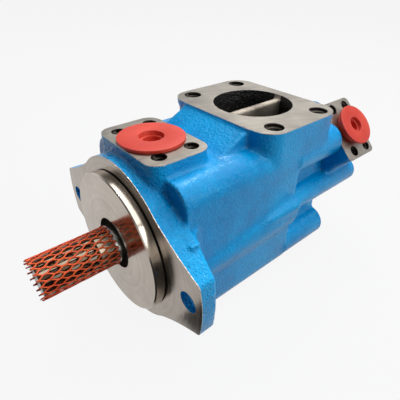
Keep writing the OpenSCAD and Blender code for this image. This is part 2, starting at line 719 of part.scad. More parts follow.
module flex_plate(ring_d, bore_d, minor_d, lift, hole_r, screw_d, pin_d, y0, y1) along(y0, y1) difference() {
    circle(d = ring_d);
    circle(d = bore_d);
    windows(minor_d / 2 - 2, minor_d / 2 + lift - 1, suction_a);
    windows(minor_d / 2 - 2, minor_d / 2 + lift - 1, pressure_a);
    pitch_holes(hole_r, screw_d, pin_d);
}

// Inlet support: windows open to its rim, counterbores for the screw heads towards -Y
module inlet_support(ring_d, bore_d, minor_d, hole_r, screw_d, pin_d, t) difference() {
    along(0, t) difference() {
        circle(d = ring_d);
        circle(d = bore_d);
        windows(minor_d / 2 - 2, ring_d / 2 - 2, suction_a);
        pitch_holes(hole_r, screw_d, pin_d);
    }
    for (a = [0, 180]) rotate([0, a, 0]) translate([hole_r, 0, 0])
        disc(head_d(screw_d) + 0.6, -cut, screw_d + 0.5);
}

// Outlet support: hub and seal groove, pressure windows through, screw threads; its face is at y = 0
module outlet_support(ring_d, bore_d, hub_d, minor_d, lift, hole_r, screw_d, pin_d, t, cord_d) difference() {
    union() {
        disc(ring_d, 0, t - 2);
        disc(hub_d, t - 2 - cut, t);
    }
    disc(bore_d, -cut, t + cut);
    along(-cut, t + cut) windows(minor_d / 2 - 2, minor_d / 2 + lift - 1, pressure_a);
    along(-cut, 2.5 * screw_d) pitch_holes(hole_r, screw_d, pin_d);
    ring(ring_d + cut, ring_d - 2 * cord_d, t / 2 - 0.6 * cord_d, t / 2 + 0.6 * cord_d);
}

front_hole_r = (front_ring_d + front_minor_d + 2 * front_lift) / 4;
front_screw_d = 6;
front_pin_d = 5;
front_shaft_bore = front_spline_d + 4;
front_slot_r = front_spline_d / 2 + 4;
front_cord_d = 2.4;

module front_cam_ring() color("darkgray")
    cam_ring(front_ring_d, front_minor_d, front_lift, front_hole_r, front_screw_d + 0.4, front_pin_d + 0.04,
        seam_1_y, front_ring_y1);
module front_rotor() color("gray")
    rotor(front_rotor_d, front_spline_d, front_spline_root, front_vane_count, front_vane_t, front_slot_r,
        seam_1_y + side_gap, front_ring_y1 - side_gap);
module front_vanes() color("silver")
    vanes(front_rotor_d, front_minor_d, front_vane_count, front_vane_t, front_slot_r,
        seam_1_y + side_gap, front_ring_y1 - side_gap);
module front_vane_inserts() color("silver")
    vane_inserts(front_minor_d, front_vane_count, front_vane_t, front_slot_r,
        seam_1_y + side_gap, front_ring_y1 - side_gap);
module front_flex_plate(y0)
    flex_plate(front_ring_d, front_shaft_bore, front_minor_d, front_lift, front_hole_r,
        front_screw_d + 0.4, front_pin_d + 0.04, y0, y0 + front_flex_t);
module front_outlet_flex_plate() color("goldenrod") front_flex_plate(seam_1_y - front_flex_t);
module front_inlet_flex_plate() color("goldenrod") front_flex_plate(front_ring_y1);
module front_outlet_support() color("gray") translate([0, seam_1_y - front_flex_t, 0]) mirror([0, 1, 0])
    outlet_support(front_ring_d, front_shaft_bore, 0.62 * front_ring_d, front_minor_d, front_lift,
        front_hole_r, front_screw_d, front_pin_d + 0.04, front_outlet_support_t, front_cord_d);
module front_support_seal() color("black")
    cord_ring(front_ring_d - front_cord_d, front_cord_d - 0.1,
        seam_1_y - front_flex_t - front_outlet_support_t / 2);
module front_inlet_support() color("gray")
    translate([0, front_ring_y1 + front_flex_t + front_inlet_support_t, 0]) mirror([0, 1, 0])
        inlet_support(front_ring_d, front_shaft_bore, front_minor_d, front_hole_r, front_screw_d + 0.4,
            front_pin_d + 0.04, front_inlet_support_t);
module front_cartridge_screws() color("dimgray") for (a = [0, 180]) rotate([0, a, 0])
    translate([front_hole_r, 0, 0]) cap_screw(front_screw_d,
        front_ring_y1 + front_flex_t + front_inlet_support_t - front_screw_d - 0.9,
        seam_1_y - front_flex_t - 2 * front_screw_d);
module front_locating_pins() color("silver") for (a = [0, 180]) rotate([0, -a - pin_a, 0])
    translate([front_hole_r, 0, 0]) disc(front_pin_d, seam_1_y - front_flex_t - 2 * front_pin_d,
        front_ring_y1 + front_flex_t + front_inlet_support_t - 2);

rear_hole_r = (rear_ring_d + rear_minor_d + 2 * rear_lift) / 4;
rear_screw_d = 4;
rear_pin_d = 3.5;
rear_shaft_bore = rear_spline_d + 3;
rear_slot_r = rear_spline_d / 2 + 3;
rear_cord_d = 2;

module rear_cam_ring() color("darkgray")
    cam_ring(rear_ring_d, rear_minor_d, rear_lift, rear_hole_r, rear_screw_d + 0.4, rear_pin_d + 0.04,
        rear_ring_y0, rear_ring_y1);
module rear_rotor() color("gray")
    rotor(rear_rotor_d, rear_spline_d, rear_spline_root, rear_vane_count, rear_vane_t, rear_slot_r,
        rear_ring_y0 + side_gap, rear_ring_y1 - side_gap);
module rear_vanes() color("silver")
    vanes(rear_rotor_d, rear_minor_d, rear_vane_count, rear_vane_t, rear_slot_r,
        rear_ring_y0 + side_gap, rear_ring_y1 - side_gap);
module rear_vane_inserts() color("silver")
    vane_inserts(rear_minor_d, rear_vane_count, rear_vane_t, rear_slot_r,
        rear_ring_y0 + side_gap, rear_ring_y1 - side_gap);
module rear_flex_plate(y0) flex_plate(rear_ring_d, rear_shaft_bore, rear_minor_d, rear_lift, rear_hole_r,
    rear_screw_d + 0.4, rear_pin_d + 0.04, y0, y0 + rear_flex_t);
module rear_inlet_flex_plate() color("goldenrod") rear_flex_plate(rear_ring_y0 - rear_flex_t);
module rear_outlet_flex_plate() color("goldenrod") rear_flex_plate(rear_ring_y1);
module rear_outlet_support() color("gray") translate([0, rear_ring_y1 + rear_flex_t, 0])
    outlet_support(rear_ring_d, rear_shaft_bore, 0.62 * rear_ring_d, rear_minor_d, rear_lift, rear_hole_r,
        rear_screw_d, rear_pin_d + 0.04, rear_outlet_support_t, rear_cord_d);
module rear_support_seal() color("black")
    cord_ring(rear_ring_d - rear_cord_d, rear_cord_d - 0.1,
              rear_ring_y1 + rear_flex_t + rear_outlet_support_t / 2);
module rear_inlet_support() color("gray") translate([0, rear_lip_y1, 0])
    inlet_support(rear_ring_d, rear_shaft_bore, rear_minor_d, rear_hole_r, rear_screw_d + 0.4,
        rear_pin_d + 0.04, rear_inlet_support_t);
module rear_cartridge_screws() color("dimgray") for (a = [0, 180]) rotate([0, a, 0])
    translate([rear_hole_r, 0, 0]) translate([0, 2 * rear_lip_y1 + rear_screw_d + 0.9, 0]) mirror([0, 1, 0])
        cap_screw(rear_screw_d, rear_lip_y1, rear_lip_y1 - (rear_ring_y1 - rear_lip_y1 - 0.9 + rear_screw_d));
module rear_locating_pins() color("silver") for (a = [0, 180]) rotate([0, -a - pin_a, 0])
    translate([rear_hole_r, 0, 0])
        disc(rear_pin_d, rear_lip_y1 + 2, rear_ring_y1 + rear_flex_t + 2 * rear_pin_d);

// ---------------------------------------------------------------- shipping caps

// Net sleeve pushed over the drive end, as a plain tube
module shaft_sleeve() color("orangered") {
    bore = max(shaft_neck_d, drive_d) + 0.4;
    ring(bore + 2 * sleeve_t, bore, -drive_len - 0.2, pilot_y - 5.4);
}

// Push-in plug: flange on the pad, tapered shank in the bore, a stepped blind hole in its top
module plug(flange_d, flange_t, lift, body_d, shank_d, shank_len, hole_d) rotate_extrude() difference() {
    top = lift + flange_t;
    polygon([[0, -shank_len], [shank_d / 2 - 1, -shank_len], [shank_d / 2, -0.2], [shank_d / 2, 0.3],
        [body_d / 2, 0.3], [body_d / 2 + lift / 4, lift], [flange_d / 2, lift], [flange_d / 2, top - 0.8],
        [flange_d / 2 - 0.8, top], [0, top]]);
    translate([0, top - 4]) square([hole_d / 2, 4 + cut]);
    translate([0, top - shank_len]) square([0.75 * hole_d / 2, shank_len]);
}

module outlet_plug_1() color("tomato") translate([0, outlet_1_y - 2, outlet_1_z])
    plug(plug_1_d, plug_1_t, 0.3, plug_1_d - 4, outlet_1_d - 5, plug_1_shank_len, plug_1_hole_d);

module outlet_plug_2() color("tomato") at_port_2() translate([0, 0, outlet_2_n])
    plug(plug_2_d, plug_2_t, plug_2_lift, plug_2_body_d, outlet_2_d - 1, plug_2_shank_len, plug_2_hole_d);

// ---------------------------------------------------------------- parts by node

front_body();
inlet_body();
rear_cover();
body_screws();
cover_screws();
body_seal_ring();
cover_seal_ring();
drive_shaft();
shaft_seal_outer();
shaft_seal_inner();
seal_springs();
bearing_outer_ring();
bearing_inner_ring();
bearing_balls();
bearing_cage();
bearing_retaining_ring();
shaft_retaining_ring();
rear_bush();
front_outlet_support();
front_outlet_flex_plate();
front_cam_ring();
front_rotor();
front_vanes();
front_vane_inserts();
front_inlet_flex_plate();
front_inlet_support();
front_cartridge_screws();
front_locating_pins();
front_support_seal();
rear_inlet_support();
rear_inlet_flex_plate();
rear_cam_ring();
rear_rotor();
rear_vanes();
rear_vane_inserts();
rear_outlet_flex_plate();
rear_outlet_support();
rear_cartridge_screws();
rear_locating_pins();
rear_support_seal();
shaft_sleeve();
outlet_plug_1();
outlet_plug_2();
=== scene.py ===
# %% [markdown]
# # A double hydraulic vane pump
# The pump is three blue iron castings on one shaft. The castings come from sand moulds, so their edges are
# round and their skin is rough, but every face that seals or locates is milled flat and stays bare metal.
# The frame gives all places and sizes, in metres: +Y runs along the shaft to the rear, +Z is up through the
# inlet port. The drive end of the shaft points along -Y.

# %% Load the frame
import json
import math
import random

import bmesh
import bpy
from mathutils import Matrix, Vector


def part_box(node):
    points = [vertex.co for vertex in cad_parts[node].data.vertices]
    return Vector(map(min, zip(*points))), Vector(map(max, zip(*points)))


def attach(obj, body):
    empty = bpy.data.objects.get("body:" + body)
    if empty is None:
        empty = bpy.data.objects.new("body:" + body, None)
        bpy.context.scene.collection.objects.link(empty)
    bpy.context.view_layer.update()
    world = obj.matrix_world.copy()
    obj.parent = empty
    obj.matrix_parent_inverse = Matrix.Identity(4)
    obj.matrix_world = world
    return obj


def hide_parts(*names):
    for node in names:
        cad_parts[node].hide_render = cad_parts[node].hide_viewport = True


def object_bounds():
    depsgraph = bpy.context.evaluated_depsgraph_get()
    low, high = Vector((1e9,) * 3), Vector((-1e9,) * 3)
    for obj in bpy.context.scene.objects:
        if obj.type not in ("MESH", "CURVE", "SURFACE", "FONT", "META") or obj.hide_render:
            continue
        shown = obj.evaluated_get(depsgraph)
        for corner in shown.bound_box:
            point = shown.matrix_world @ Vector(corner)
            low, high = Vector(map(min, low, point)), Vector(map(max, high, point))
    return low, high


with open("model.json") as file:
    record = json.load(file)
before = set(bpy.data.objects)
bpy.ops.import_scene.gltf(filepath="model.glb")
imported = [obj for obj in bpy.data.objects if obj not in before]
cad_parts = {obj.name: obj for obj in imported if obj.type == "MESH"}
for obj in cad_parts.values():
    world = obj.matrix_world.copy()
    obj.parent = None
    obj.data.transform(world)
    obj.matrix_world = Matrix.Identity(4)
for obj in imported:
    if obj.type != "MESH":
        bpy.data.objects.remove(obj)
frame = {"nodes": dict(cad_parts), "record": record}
cad_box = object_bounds()
nodes = frame["nodes"]
mounts = {mount["name"]: mount for mount in frame["record"]["mounts"]}
MM = 0.001
print("CAD box, mm:", [[round(c / MM, 1) for c in corner] for corner in cad_box])

# %% [markdown]
# ## Sizes that the frame already knows
# A node's box gives the planes where castings meet and the radii of the seats inside them, because each
# round inner piece fills its bore. Reading them keeps the castings true to the parts they hold.

# %% Planes and radii
X, Y, Z = Vector((1, 0, 0)), Vector((0, 1, 0)), Vector((0, 0, 1))


def low(node, axis="y"):
    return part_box(node)[0]["xyz".index(axis)]


def high(node, axis="y"):
    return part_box(node)[1]["xyz".index(axis)]


FLANGE_Y = 0.0
PILOT_Y = low("front_body")
SEAM_1 = high("front_body")
SEAM_2 = high("inlet_body")
COVER_END = high("rear_cover")
PORT_IN_Z = mounts["inlet_face"]["pos_m"][2]
PORT_IN_Y = mounts["inlet_bolts"]["pos_m"][1]
PORT_1 = Vector(mounts["outlet_1_bolts"]["pos_m"])
PILOT_R = mounts["pilot"]["dims"]["r_mm"] * MM
PORT_2_AXIS = Vector(mounts["outlet_2_bolts_upper"]["axis"]).normalized()
pair_up, pair_down = (Vector(mounts["outlet_2_bolts_" + side]["pos_m"]) for side in ("upper", "lower"))
PAD_2_RISE = 0.5 * MM * PORT_2_AXIS
PORT_2 = (pair_up + pair_down) / 2 + PAD_2_RISE
print("seams at", round(SEAM_1 / MM), "and", round(SEAM_2 / MM), "mm; outlet 2 faces", PORT_2_AXIS)

# %% [markdown]
# ## The camera
# The view is three-quarter: from the front right and from above, close enough for a strong perspective.
# An angle around the pump, an angle down and a small roll give the camera's three axes, and these are the
# columns of its matrix. A camera looks along its own -Z.

# %% Camera
AROUND, DOWN, ROLL = math.radians(49.23), math.radians(34.76), math.radians(0.81)
CAMERA_AT = Vector((0.22242, -0.10115, 0.20230))
LENS_MM, SENSOR_MM = 31.64, 36
SHIFT = (-0.0066, 0.0058)
look = Vector((-math.sin(AROUND) * math.cos(DOWN), math.cos(AROUND) * math.cos(DOWN), -math.sin(DOWN)))
right = Vector((math.cos(AROUND), math.sin(AROUND), 0))
up = right.cross(look)
cam_x = math.cos(ROLL) * right + math.sin(ROLL) * up
cam_y = math.cos(ROLL) * up - math.sin(ROLL) * right

camera_data = bpy.data.cameras.new("camera")
camera_data.sensor_width, camera_data.lens = SENSOR_MM, LENS_MM
camera_data.shift_x, camera_data.shift_y = SHIFT
camera_data.clip_start = 0.01
camera = bpy.data.objects.new("camera", camera_data)
turned = Matrix((cam_x, cam_y, -look)).transposed().to_4x4()
camera.matrix_world = Matrix.Translation(CAMERA_AT) @ turned
bpy.context.scene.collection.objects.link(camera)
bpy.context.scene.camera = camera
print("camera at", tuple(round(c, 3) for c in CAMERA_AT))

# %% [markdown]
# ## Writing node trees
# A material, a world or a node group is a tree of nodes with links between their sockets. One helper adds
# a node and feeds its inputs with numbers or other nodes. Two more do so for Math and for Map Range, which
# turns one range of values into another.

# %% Node helpers
def feed(tree, socket, value):
    """Sets an input to a value, or links it to an output, which for a whole node is its first one."""
    if isinstance(value, bpy.types.Node):
        value = value.outputs[0]
    if isinstance(value, bpy.types.NodeSocket):
        tree.links.new(value, socket)
    else:
        socket.default_value = value


def add(tree, kind, inputs=None, **values):
    """A node with some of its properties set and some of its inputs fed, by name or by number."""
    node = tree.nodes.new("ShaderNode" + kind)
    for name, value in values.items():
        setattr(node, name, value)
    for name, value in (inputs or {}).items():
        feed(tree, node.inputs[name], value)
    return node


def math_node(tree, operation, a, b):
    return add(tree, "Math", {0: a, 1: b}, operation=operation)


def map_range(tree, value, from_min, from_max, to_min, to_max, **values):
    inputs = {"Value": value, "From Min": from_min, "From Max": from_max, "To Min": to_min, "To Max": to_max}
    return add(tree, "MapRange", inputs, **values)


scene = bpy.context.scene
scene.view_settings.view_transform = "Standard"
print("view transform", scene.view_settings.view_transform)

# %% [markdown]
# ## The studio floor
# A product like this stands on a sheet of white paper. What the camera sees of it is made plain white
# through Light Path, while it keeps a faint shadow and throws light back up. A black sheet lies beside the
# pump as painted shadow: only reflections see it, where it stands for the pump's shadow on the paper, and
# it gives the turned pilot a dark band.

# %% Floor and the black sheet of painted shadow
FLOOR_Z = cad_box[0][2] - 0.2 * MM
SEEN_WHITE, MIRRORED_WHITE = 0.9, 0.6
PAPER = (0.32, 0.32, 0.33, 1)
# This black is painted shadow: the pump's shadow on the paper as reflections see it.
PAPER_SHADOW_BLACK = (0.01, 0.01, 0.01, 1)


def piece(name, form, *materials):
    """A linked object made from a bmesh, at the origin."""
    mesh = bpy.data.meshes.new(name)
    form.to_mesh(mesh)
    form.free()
    for material in materials:
        mesh.materials.append(material)
    made = bpy.data.objects.new(name, mesh)
    scene.collection.objects.link(made)
    return made


def studio_sheet(name, half_x, half_y, place, material):
    """A flat rectangle that belongs to the studio and not to the pump."""
    form = bmesh.new()
    bmesh.ops.create_grid(form, x_segments=1, y_segments=1, size=1)
    bmesh.ops.scale(form, verts=form.verts, vec=(half_x, half_y, 1))
    bmesh.ops.translate(form, verts=form.verts, vec=place)
    return piece(name, form, material)


def new_material(name):
    """A material with a Principled shader, and its node tree."""
    material = bpy.data.materials.new(name)
    material.use_nodes = True
    return material, material.node_tree


def make_paper():
    """White paper: matte under the lamps, and shining in what the camera and mirrors see of it."""
    paper, tree = new_material("white_paper")
    tree.nodes.clear()
    ray = add(tree, "LightPath")
    shown = math_node(tree, "MAXIMUM", math_node(tree, "MULTIPLY", ray.outputs["Is Camera Ray"], SEEN_WHITE),
                      math_node(tree, "MULTIPLY", ray.outputs["Is Glossy Ray"], MIRRORED_WHITE))
    matte = add(tree, "BsdfDiffuse", {"Color": PAPER})
    glow = add(tree, "Emission")
    blend = add(tree, "MixShader", {0: shown, 1: matte, 2: glow})
    add(tree, "OutputMaterial", {"Surface": blend})
    return paper


floor = studio_sheet("studio_floor", 4, 4, (0, 0, FLOOR_Z), make_paper())
black, tree = new_material("reflected_paper_shadow")
for socket, value in (("Base Color", PAPER_SHADOW_BLACK), ("Roughness", 1)):
    feed(tree, tree.nodes["Principled BSDF"].inputs[socket], value)
# Painted shadow: this sheet is seen only in reflections, and darkens them where the pump shades the paper.
painted_shadow_card = studio_sheet("reflected_paper_shadow", 0.25, 0.2, (0.30, -0.22, FLOOR_Z + MM), black)
painted_shadow_card.visible_camera = painted_shadow_card.visible_diffuse = painted_shadow_card.visible_shadow = False
print("floor at", round(FLOOR_Z / MM, 1), "mm")

# %% [markdown]
# ## The room
# The world stands for the room round the table. The camera sees plain white. Mirrors see a white sweep low
# down that fades into a dim ceiling, which gives metal its gradient. Matte surfaces get a dim light that is
# weaker from the front, so that faces turned to the front stay deep in colour.

# %% World
ROOM = 0.2
ROOM_TINT = (0.93, 0.96, 1, 1)
SWEEP = (0.12, 0.42)
FRONT_SHARE, REAR_SHARE = 0.2, 1.4


def make_world():
    """White where the camera looks, a white sweep low down in reflections, and a dim room above it."""
    world = bpy.data.worlds.new("studio")
    scene.world = world
    world.use_nodes = True
    tree = world.node_tree
    tree.nodes.clear()
    place = add(tree, "TexCoord")
    toward = add(tree, "SeparateXYZ", {0: place.outputs["Generated"]})
    ray = add(tree, "LightPath")
    matte = map_range(tree, toward.outputs["Y"], -0.8, 0.8, FRONT_SHARE * ROOM, REAR_SHARE * ROOM)
    mirrored = map_range(tree, toward.outputs["Z"], *SWEEP, 1.0, ROOM, interpolation_type="SMOOTHSTEP")
    level = add(tree, "Mix", {0: ray.outputs["Is Glossy Ray"], 2: matte, 3: mirrored}, data_type="FLOAT")
    room = add(tree, "Background", {"Color": ROOM_TINT, "Strength": level})
    seen = add(tree, "Background", {"Color": (1, 1, 1, 1)})
    blend = add(tree, "MixShader", {0: ray.outputs["Is Camera Ray"], 1: room, 2: seen})
    add(tree, "OutputWorld", {"Surface": blend})


make_world()
print("world", scene.world.name)

# %% [markdown]
# ## Lamps
# One wide soft box overhead gives soft shadows and long soft highlights. A small one beside it is strong
# for its size, so it sparkles on the grain of the enamel. A third lights the right side from behind.

# %% Lamps
AIM = Vector((0, 0.1, 0))


def soft_box(name, place, width, depth, power):
    """A rectangular area lamp, in metres and watts, turned towards the pump."""
    data = bpy.data.lights.new(name, "AREA")
    data.shape, data.size, data.size_y = "RECTANGLE", width, depth
    data.energy = power
    lamp = bpy.data.objects.new(name, data)
    turn = (AIM - Vector(place)).to_track_quat("-Z", "Y")
    lamp.matrix_world = Matrix.Translation(place) @ turn.to_matrix().to_4x4()
    scene.collection.objects.link(lamp)


soft_box("key_box", (0.0, 0.5, 1.2), 1.9, 1.6, 22)
soft_box("glint_box", (-0.39, 0.55, 1.1), 0.13, 0.13, 4)
soft_box("side_box", (1.05, 0.45, 0.6), 0.5, 0.7, 5)

# %% [markdown]
# ## Shared surface effects
# A skin cast in sand and a face cut by a tool each have a pattern that several finishes share. Both are
# patterns in space, so they are built from Object coordinates, once each, as node groups with inputs.

# %% Tools for node groups
def node_group(name, **inputs):
    """An empty group with inputs that are numbers or vectors, and two numbers as outputs, Height and Tone."""
    tree = bpy.data.node_groups.new(name, "ShaderNodeTree")
    for title, value in inputs.items():
        kind = "NodeSocketVector" if isinstance(value, tuple) else "NodeSocketFloat"
        tree.interface.new_socket(title, in_out="INPUT", socket_type=kind).default_value = value
    for title in ("Height", "Tone"):
        tree.interface.new_socket(title, in_out="OUTPUT", socket_type="NodeSocketFloat")
    return tree, tree.nodes.new("NodeGroupInput").outputs, tree.nodes.new("NodeGroupOutput").inputs


def object_place(tree):
    return add(tree, "TexCoord").outputs["Object"]


def noise(tree, place, scale, detail, rough):
    inputs = {"Vector": place, "Scale": scale, "Detail": detail, "Roughness": rough}
    return add(tree, "TexNoise", inputs).outputs["Fac"]


def distance(tree, place, flatten):
    """Length of a vector after each of its axes is kept by 1 or dropped by 0."""
    flat = add(tree, "VectorMath", {0: place, 1: flatten}, operation="MULTIPLY")
    return add(tree, "VectorMath", {0: flat}, operation="LENGTH").outputs["Value"]

# %% [markdown]
# ### Cast grain
# A cast skin repeats the sand of its mould: round grains a millimetre or two wide, finer dust between them,
# and a few larger hollows. Smooth Voronoi cells give the round grains and two noises give the rest.

# %% Cast grain
LUMPS, SAND, PATCHES = 190, 520, 24


def make_cast_grain():
    tree, given, out = node_group("cast_grain", Grain=800.0, Fine=1.0, Sand=0.5, Coarse=0.5, Speckle=0.5)
    place = object_place(tree)
    fine = noise(tree, place, given["Grain"], 3, 0.55)
    pits = add(tree, "TexVoronoi", {"Vector": place, "Scale": SAND}, feature="SMOOTH_F1")
    coarse = math_node(tree, "MULTIPLY", noise(tree, place, LUMPS, 2, 0.5), given["Coarse"])
    grains = math_node(tree, "MULTIPLY", pits.outputs["Distance"], given["Sand"])
    dust = math_node(tree, "MULTIPLY", fine, given["Fine"])
    feed(tree, out["Height"], math_node(tree, "ADD", math_node(tree, "ADD", dust, grains), coarse))
    patches = noise(tree, place, PATCHES, 4, 0.6)
    speckle = math_node(tree, "MULTIPLY", math_node(tree, "SUBTRACT", fine, 0.5), given["Speckle"])
    feed(tree, out["Tone"], math_node(tree, "ADD", patches, speckle))
    return tree


cast_grain = make_cast_grain()
print("group:", cast_grain.name)

# %% [markdown]
# ### Tool marks
# A lathe or a mill leaves fine arcs round a centre. A noise that reads only the distance from that centre
# gives such arcs. Flattening an axis makes rings round a shaft, and a far centre makes nearly straight arcs.

# %% Tool marks
SMEARS, STAINS, BANDS = 900, 38, 260


def make_tool_marks():
    tree, given, out = node_group("tool_marks", Centre=(0, 0, 0), Flatten=(1, 1, 0), Pitch=1800.0)
    place = object_place(tree)
    offset = add(tree, "VectorMath", {0: place, 1: given["Centre"]}, operation="SUBTRACT")
    steps = add(tree, "CombineXYZ", {"X": distance(tree, offset, given["Flatten"])})
    marks = noise(tree, steps, given["Pitch"], 2, 0.6)
    smears = math_node(tree, "MULTIPLY", noise(tree, place, SMEARS, 2, 0.5), 0.25)
    feed(tree, out["Height"], math_node(tree, "ADD", marks, smears))
    bands = math_node(tree, "MULTIPLY", noise(tree, steps, BANDS, 1, 0.5), 0.4)
    stains = math_node(tree, "MULTIPLY", noise(tree, place, STAINS, 5, 0.65), 0.6)
    feed(tree, out["Tone"], math_node(tree, "ADD", bands, stains))
    return tree


tool_marks = make_tool_marks()
print("group:", tool_marks.name)

# %% [markdown]
# ## Finishes
# Each finish is one material: a Principled shader with constants on its own sockets, and nodes only where
# something changes over the surface. A tone mixes two colours and moves the roughness, and a height gives
# the bump.

# %% Material helpers
TONES = (0.35, 0.65)


def linear(*rgb):
    """Colour written as on a screen, 0 to 255, turned into the linear values that shaders take."""
    return tuple(((c / 255 + 0.055) / 1.055) ** 2.4 if c > 10 else c / 255 / 12.92 for c in rgb) + (1,)


def finish(name, dark, light, rough, bump, effect, values, **sockets):
    """A material: colour and roughness follow the effect's Tone; bump is a strength and a depth in mm."""
    material, tree = new_material(name)
    source = add(tree, "Group", values, node_tree=effect)
    tone = source.outputs["Tone"]
    ramp = add(tree, "ValToRGB", {0: tone})
    for stop, place, color in zip(ramp.color_ramp.elements, TONES, (dark, light)):
        stop.position, stop.color = place, linear(*color)
    relief = add(tree, "Bump", {"Strength": bump[0], "Distance": bump[1] * MM, "Height": source})
    shader = tree.nodes["Principled BSDF"]
    sockets.update({"Base Color": ramp, "Roughness": map_range(tree, tone, *TONES, *rough), "Normal": relief})
    for socket, value in sockets.items():
        feed(tree, shader.inputs[socket.replace("_", " ")], value)
    return material

# %% [markdown]
# ### Blue enamel on sand-cast iron
# The enamel is sprayed thick over the raw casting. Hollows are darkened towards a deep blue as painted shade,
# while edges keep the plain colour. Pointiness, which Blender works out from the dense skin, tells the two
# apart. The rim of the flange has the coarsest skin, so its bump is stronger. Beside a milled face the
# paint is chipped, and a thin ragged line of iron shows.

# %% Blue enamel
HOLLOW_TO_EDGE = (0.44, 0.58)
RIM_SAND, RIM_Y = 2.4, (14 * MM, 24 * MM)
# The first colour here is painted shade for the hollows of the skin.
HOLLOW_SHADE_BLUE, BARE_IRON, WHITE = linear(180, 195, 215), linear(196, 190, 180), (1, 1, 1, 1)


def chipped_edges(tree, place):
    """1 in a thin ragged line of bare iron beside each milled face, and 0 elsewhere."""
    beside = add(tree, "Attribute", attribute_name="milled_edge").outputs["Fac"]
    ragged = math_node(tree, "MULTIPLY", noise(tree, place, 420, 3, 0.7), 0.9)
    return math_node(tree, "GREATER_THAN", beside, math_node(tree, "ADD", ragged, -0.2))


def make_enamel():
    enamel = finish("blue_enamel", (0, 132, 196), (0, 162, 226), (0.12, 0.24), (1.0, 0.8), cast_grain,
                    {"Grain": 850, "Fine": 0.3, "Sand": 0.42, "Coarse": 0.4, "Speckle": 0.6},
                    Specular_IOR_Level=0.42, Specular_Tint=(0.45, 0.82, 1, 1))
    tree = enamel.node_tree
    shader = tree.nodes["Principled BSDF"]
    base = shader.inputs["Base Color"].links[0].from_socket
    shape = add(tree, "NewGeometry")
    # Painted shade: where pointiness is low, in hollows, the colour is multiplied by a deep blue.
    edges = map_range(tree, shape.outputs["Pointiness"], *HOLLOW_TO_EDGE, 0.0, 1.0)
    depth = add(tree, "ValToRGB", {0: edges})
    shade_stop, plain = depth.color_ramp.elements
    shade_stop.color, plain.color, plain.position = HOLLOW_SHADE_BLUE, WHITE, 0.45
    # The enamel's colour with the painted shade of the hollows multiplied in.
    thick = add(tree, "Mix", {0: 1, 6: base, 7: depth}, data_type="RGBA", blend_type="MULTIPLY")
    place = object_place(tree)
    parts = add(tree, "SeparateXYZ", {0: place})
    rim = map_range(tree, parts.outputs["Y"], *RIM_Y, RIM_SAND, 1.0)
    relief = shader.inputs["Normal"].links[0].from_node
    raw = relief.inputs["Height"].links[0].from_socket
    feed(tree, relief.inputs["Height"], math_node(tree, "MULTIPLY", raw, rim))
    chipped = chipped_edges(tree, place)
    iron = add(tree, "Mix", {0: chipped, 6: thick.outputs[2], 7: BARE_IRON}, data_type="RGBA")
    feed(tree, shader.inputs["Base Color"], iron.outputs[2])
    feed(tree, shader.inputs["Metallic"], chipped)
    return enamel


enamel = make_enamel()
print("made", enamel.name)

# %% [markdown]
# ### Bare metals
# Cut iron is a grey metal with a warm cast and directional marks. The bearing is ground steel, the plates of
# the cartridges are lapped iron and the bush is bronze. They differ in colour, in how sharply they mirror
# and in the pitch of their marks, so one function makes them all.

# %% Cut metals
ROUND_THE_SHAFT, ALONG_THE_SHAFT, BALL = (1, 0, 1), (0, 1, 0), (1, 1, 1)


def cut_metal(name, dark, light, rough, bump, pitch, flatten=ROUND_THE_SHAFT, centre=(0, 0, 0)):
    return finish(name, dark, light, rough, bump, tool_marks,
                  {"Centre": centre, "Flatten": flatten, "Pitch": pitch}, Metallic=1.0)


milled = cut_metal("milled_iron", (156, 149, 139), (181, 174, 163), (0.34, 0.46), (0.10, 0.05), 1500,
                   BALL, (0.31, 0.02, 0))
turned_iron = cut_metal("turned_iron", (184, 172, 158), (212, 200, 187), (0.14, 0.22), (0.06, 0.04), 2600)
faced = cut_metal("faced_iron", (170, 160, 148), (198, 188, 176), (0.18, 0.28), (0.06, 0.04), 2200)
bored = cut_metal("bored_iron", (90, 84, 78), (140, 132, 124), (0.3, 0.45), (0.1, 0.05), 2200, ALONG_THE_SHAFT)
bearing_steel = cut_metal("bearing_steel", (196, 197, 200), (222, 223, 226), (0.08, 0.16), (0.03, 0.02), 3000)
plate_iron = cut_metal("plate_iron", (112, 108, 104), (150, 146, 141), (0.3, 0.48), (0.08, 0.05), 1500)
bronze = cut_metal("bronze", (150, 104, 48), (196, 146, 78), (0.26, 0.42), (0.12, 0.06), 2000)
print("materials:", len(bpy.data.materials))

# %% [markdown]
# ### The shaft
# The gaps between the spline's teeth are mixed to a dark brown, as painted shade under the net and painted
# reflection of its orange strands, and the seal's journal is ground bright. Both are bands of the distance
# from the shaft's axis, so that distance mixes each colour into the steel.

# %% Shaft steel
def tint_by_radius(material, color, *from_to):
    """Mixes a colour into a finish of the shaft by the distance from its axis."""
    tree = material.node_tree
    base = tree.nodes["Principled BSDF"].inputs["Base Color"]
    share = map_range(tree, distance(tree, object_place(tree), ROUND_THE_SHAFT), *from_to)
    mixed = add(tree, "Mix", {0: share, 6: base.links[0].from_socket, 7: color}, data_type="RGBA")
    feed(tree, base, mixed.outputs[2])


shaft_steel = cut_metal("ground_steel", (116, 104, 88), (150, 136, 118), (0.16, 0.26), (0.05, 0.03), 2600,
                        ALONG_THE_SHAFT)
GAP_SHADE_BROWN, GROUND_JOURNAL = linear(84, 66, 52), linear(226, 222, 214)
# Painted shade and painted reflection of the net: the gaps between the teeth turn dark brown.
tint_by_radius(shaft_steel, GAP_SHADE_BROWN, 14.6 * MM, 15.4 * MM, 1.0, 0.0)
tint_by_radius(shaft_steel, GROUND_JOURNAL, 16.0 * MM, 16.6 * MM, 0.0, 1.0)
print("made", shaft_steel.name)

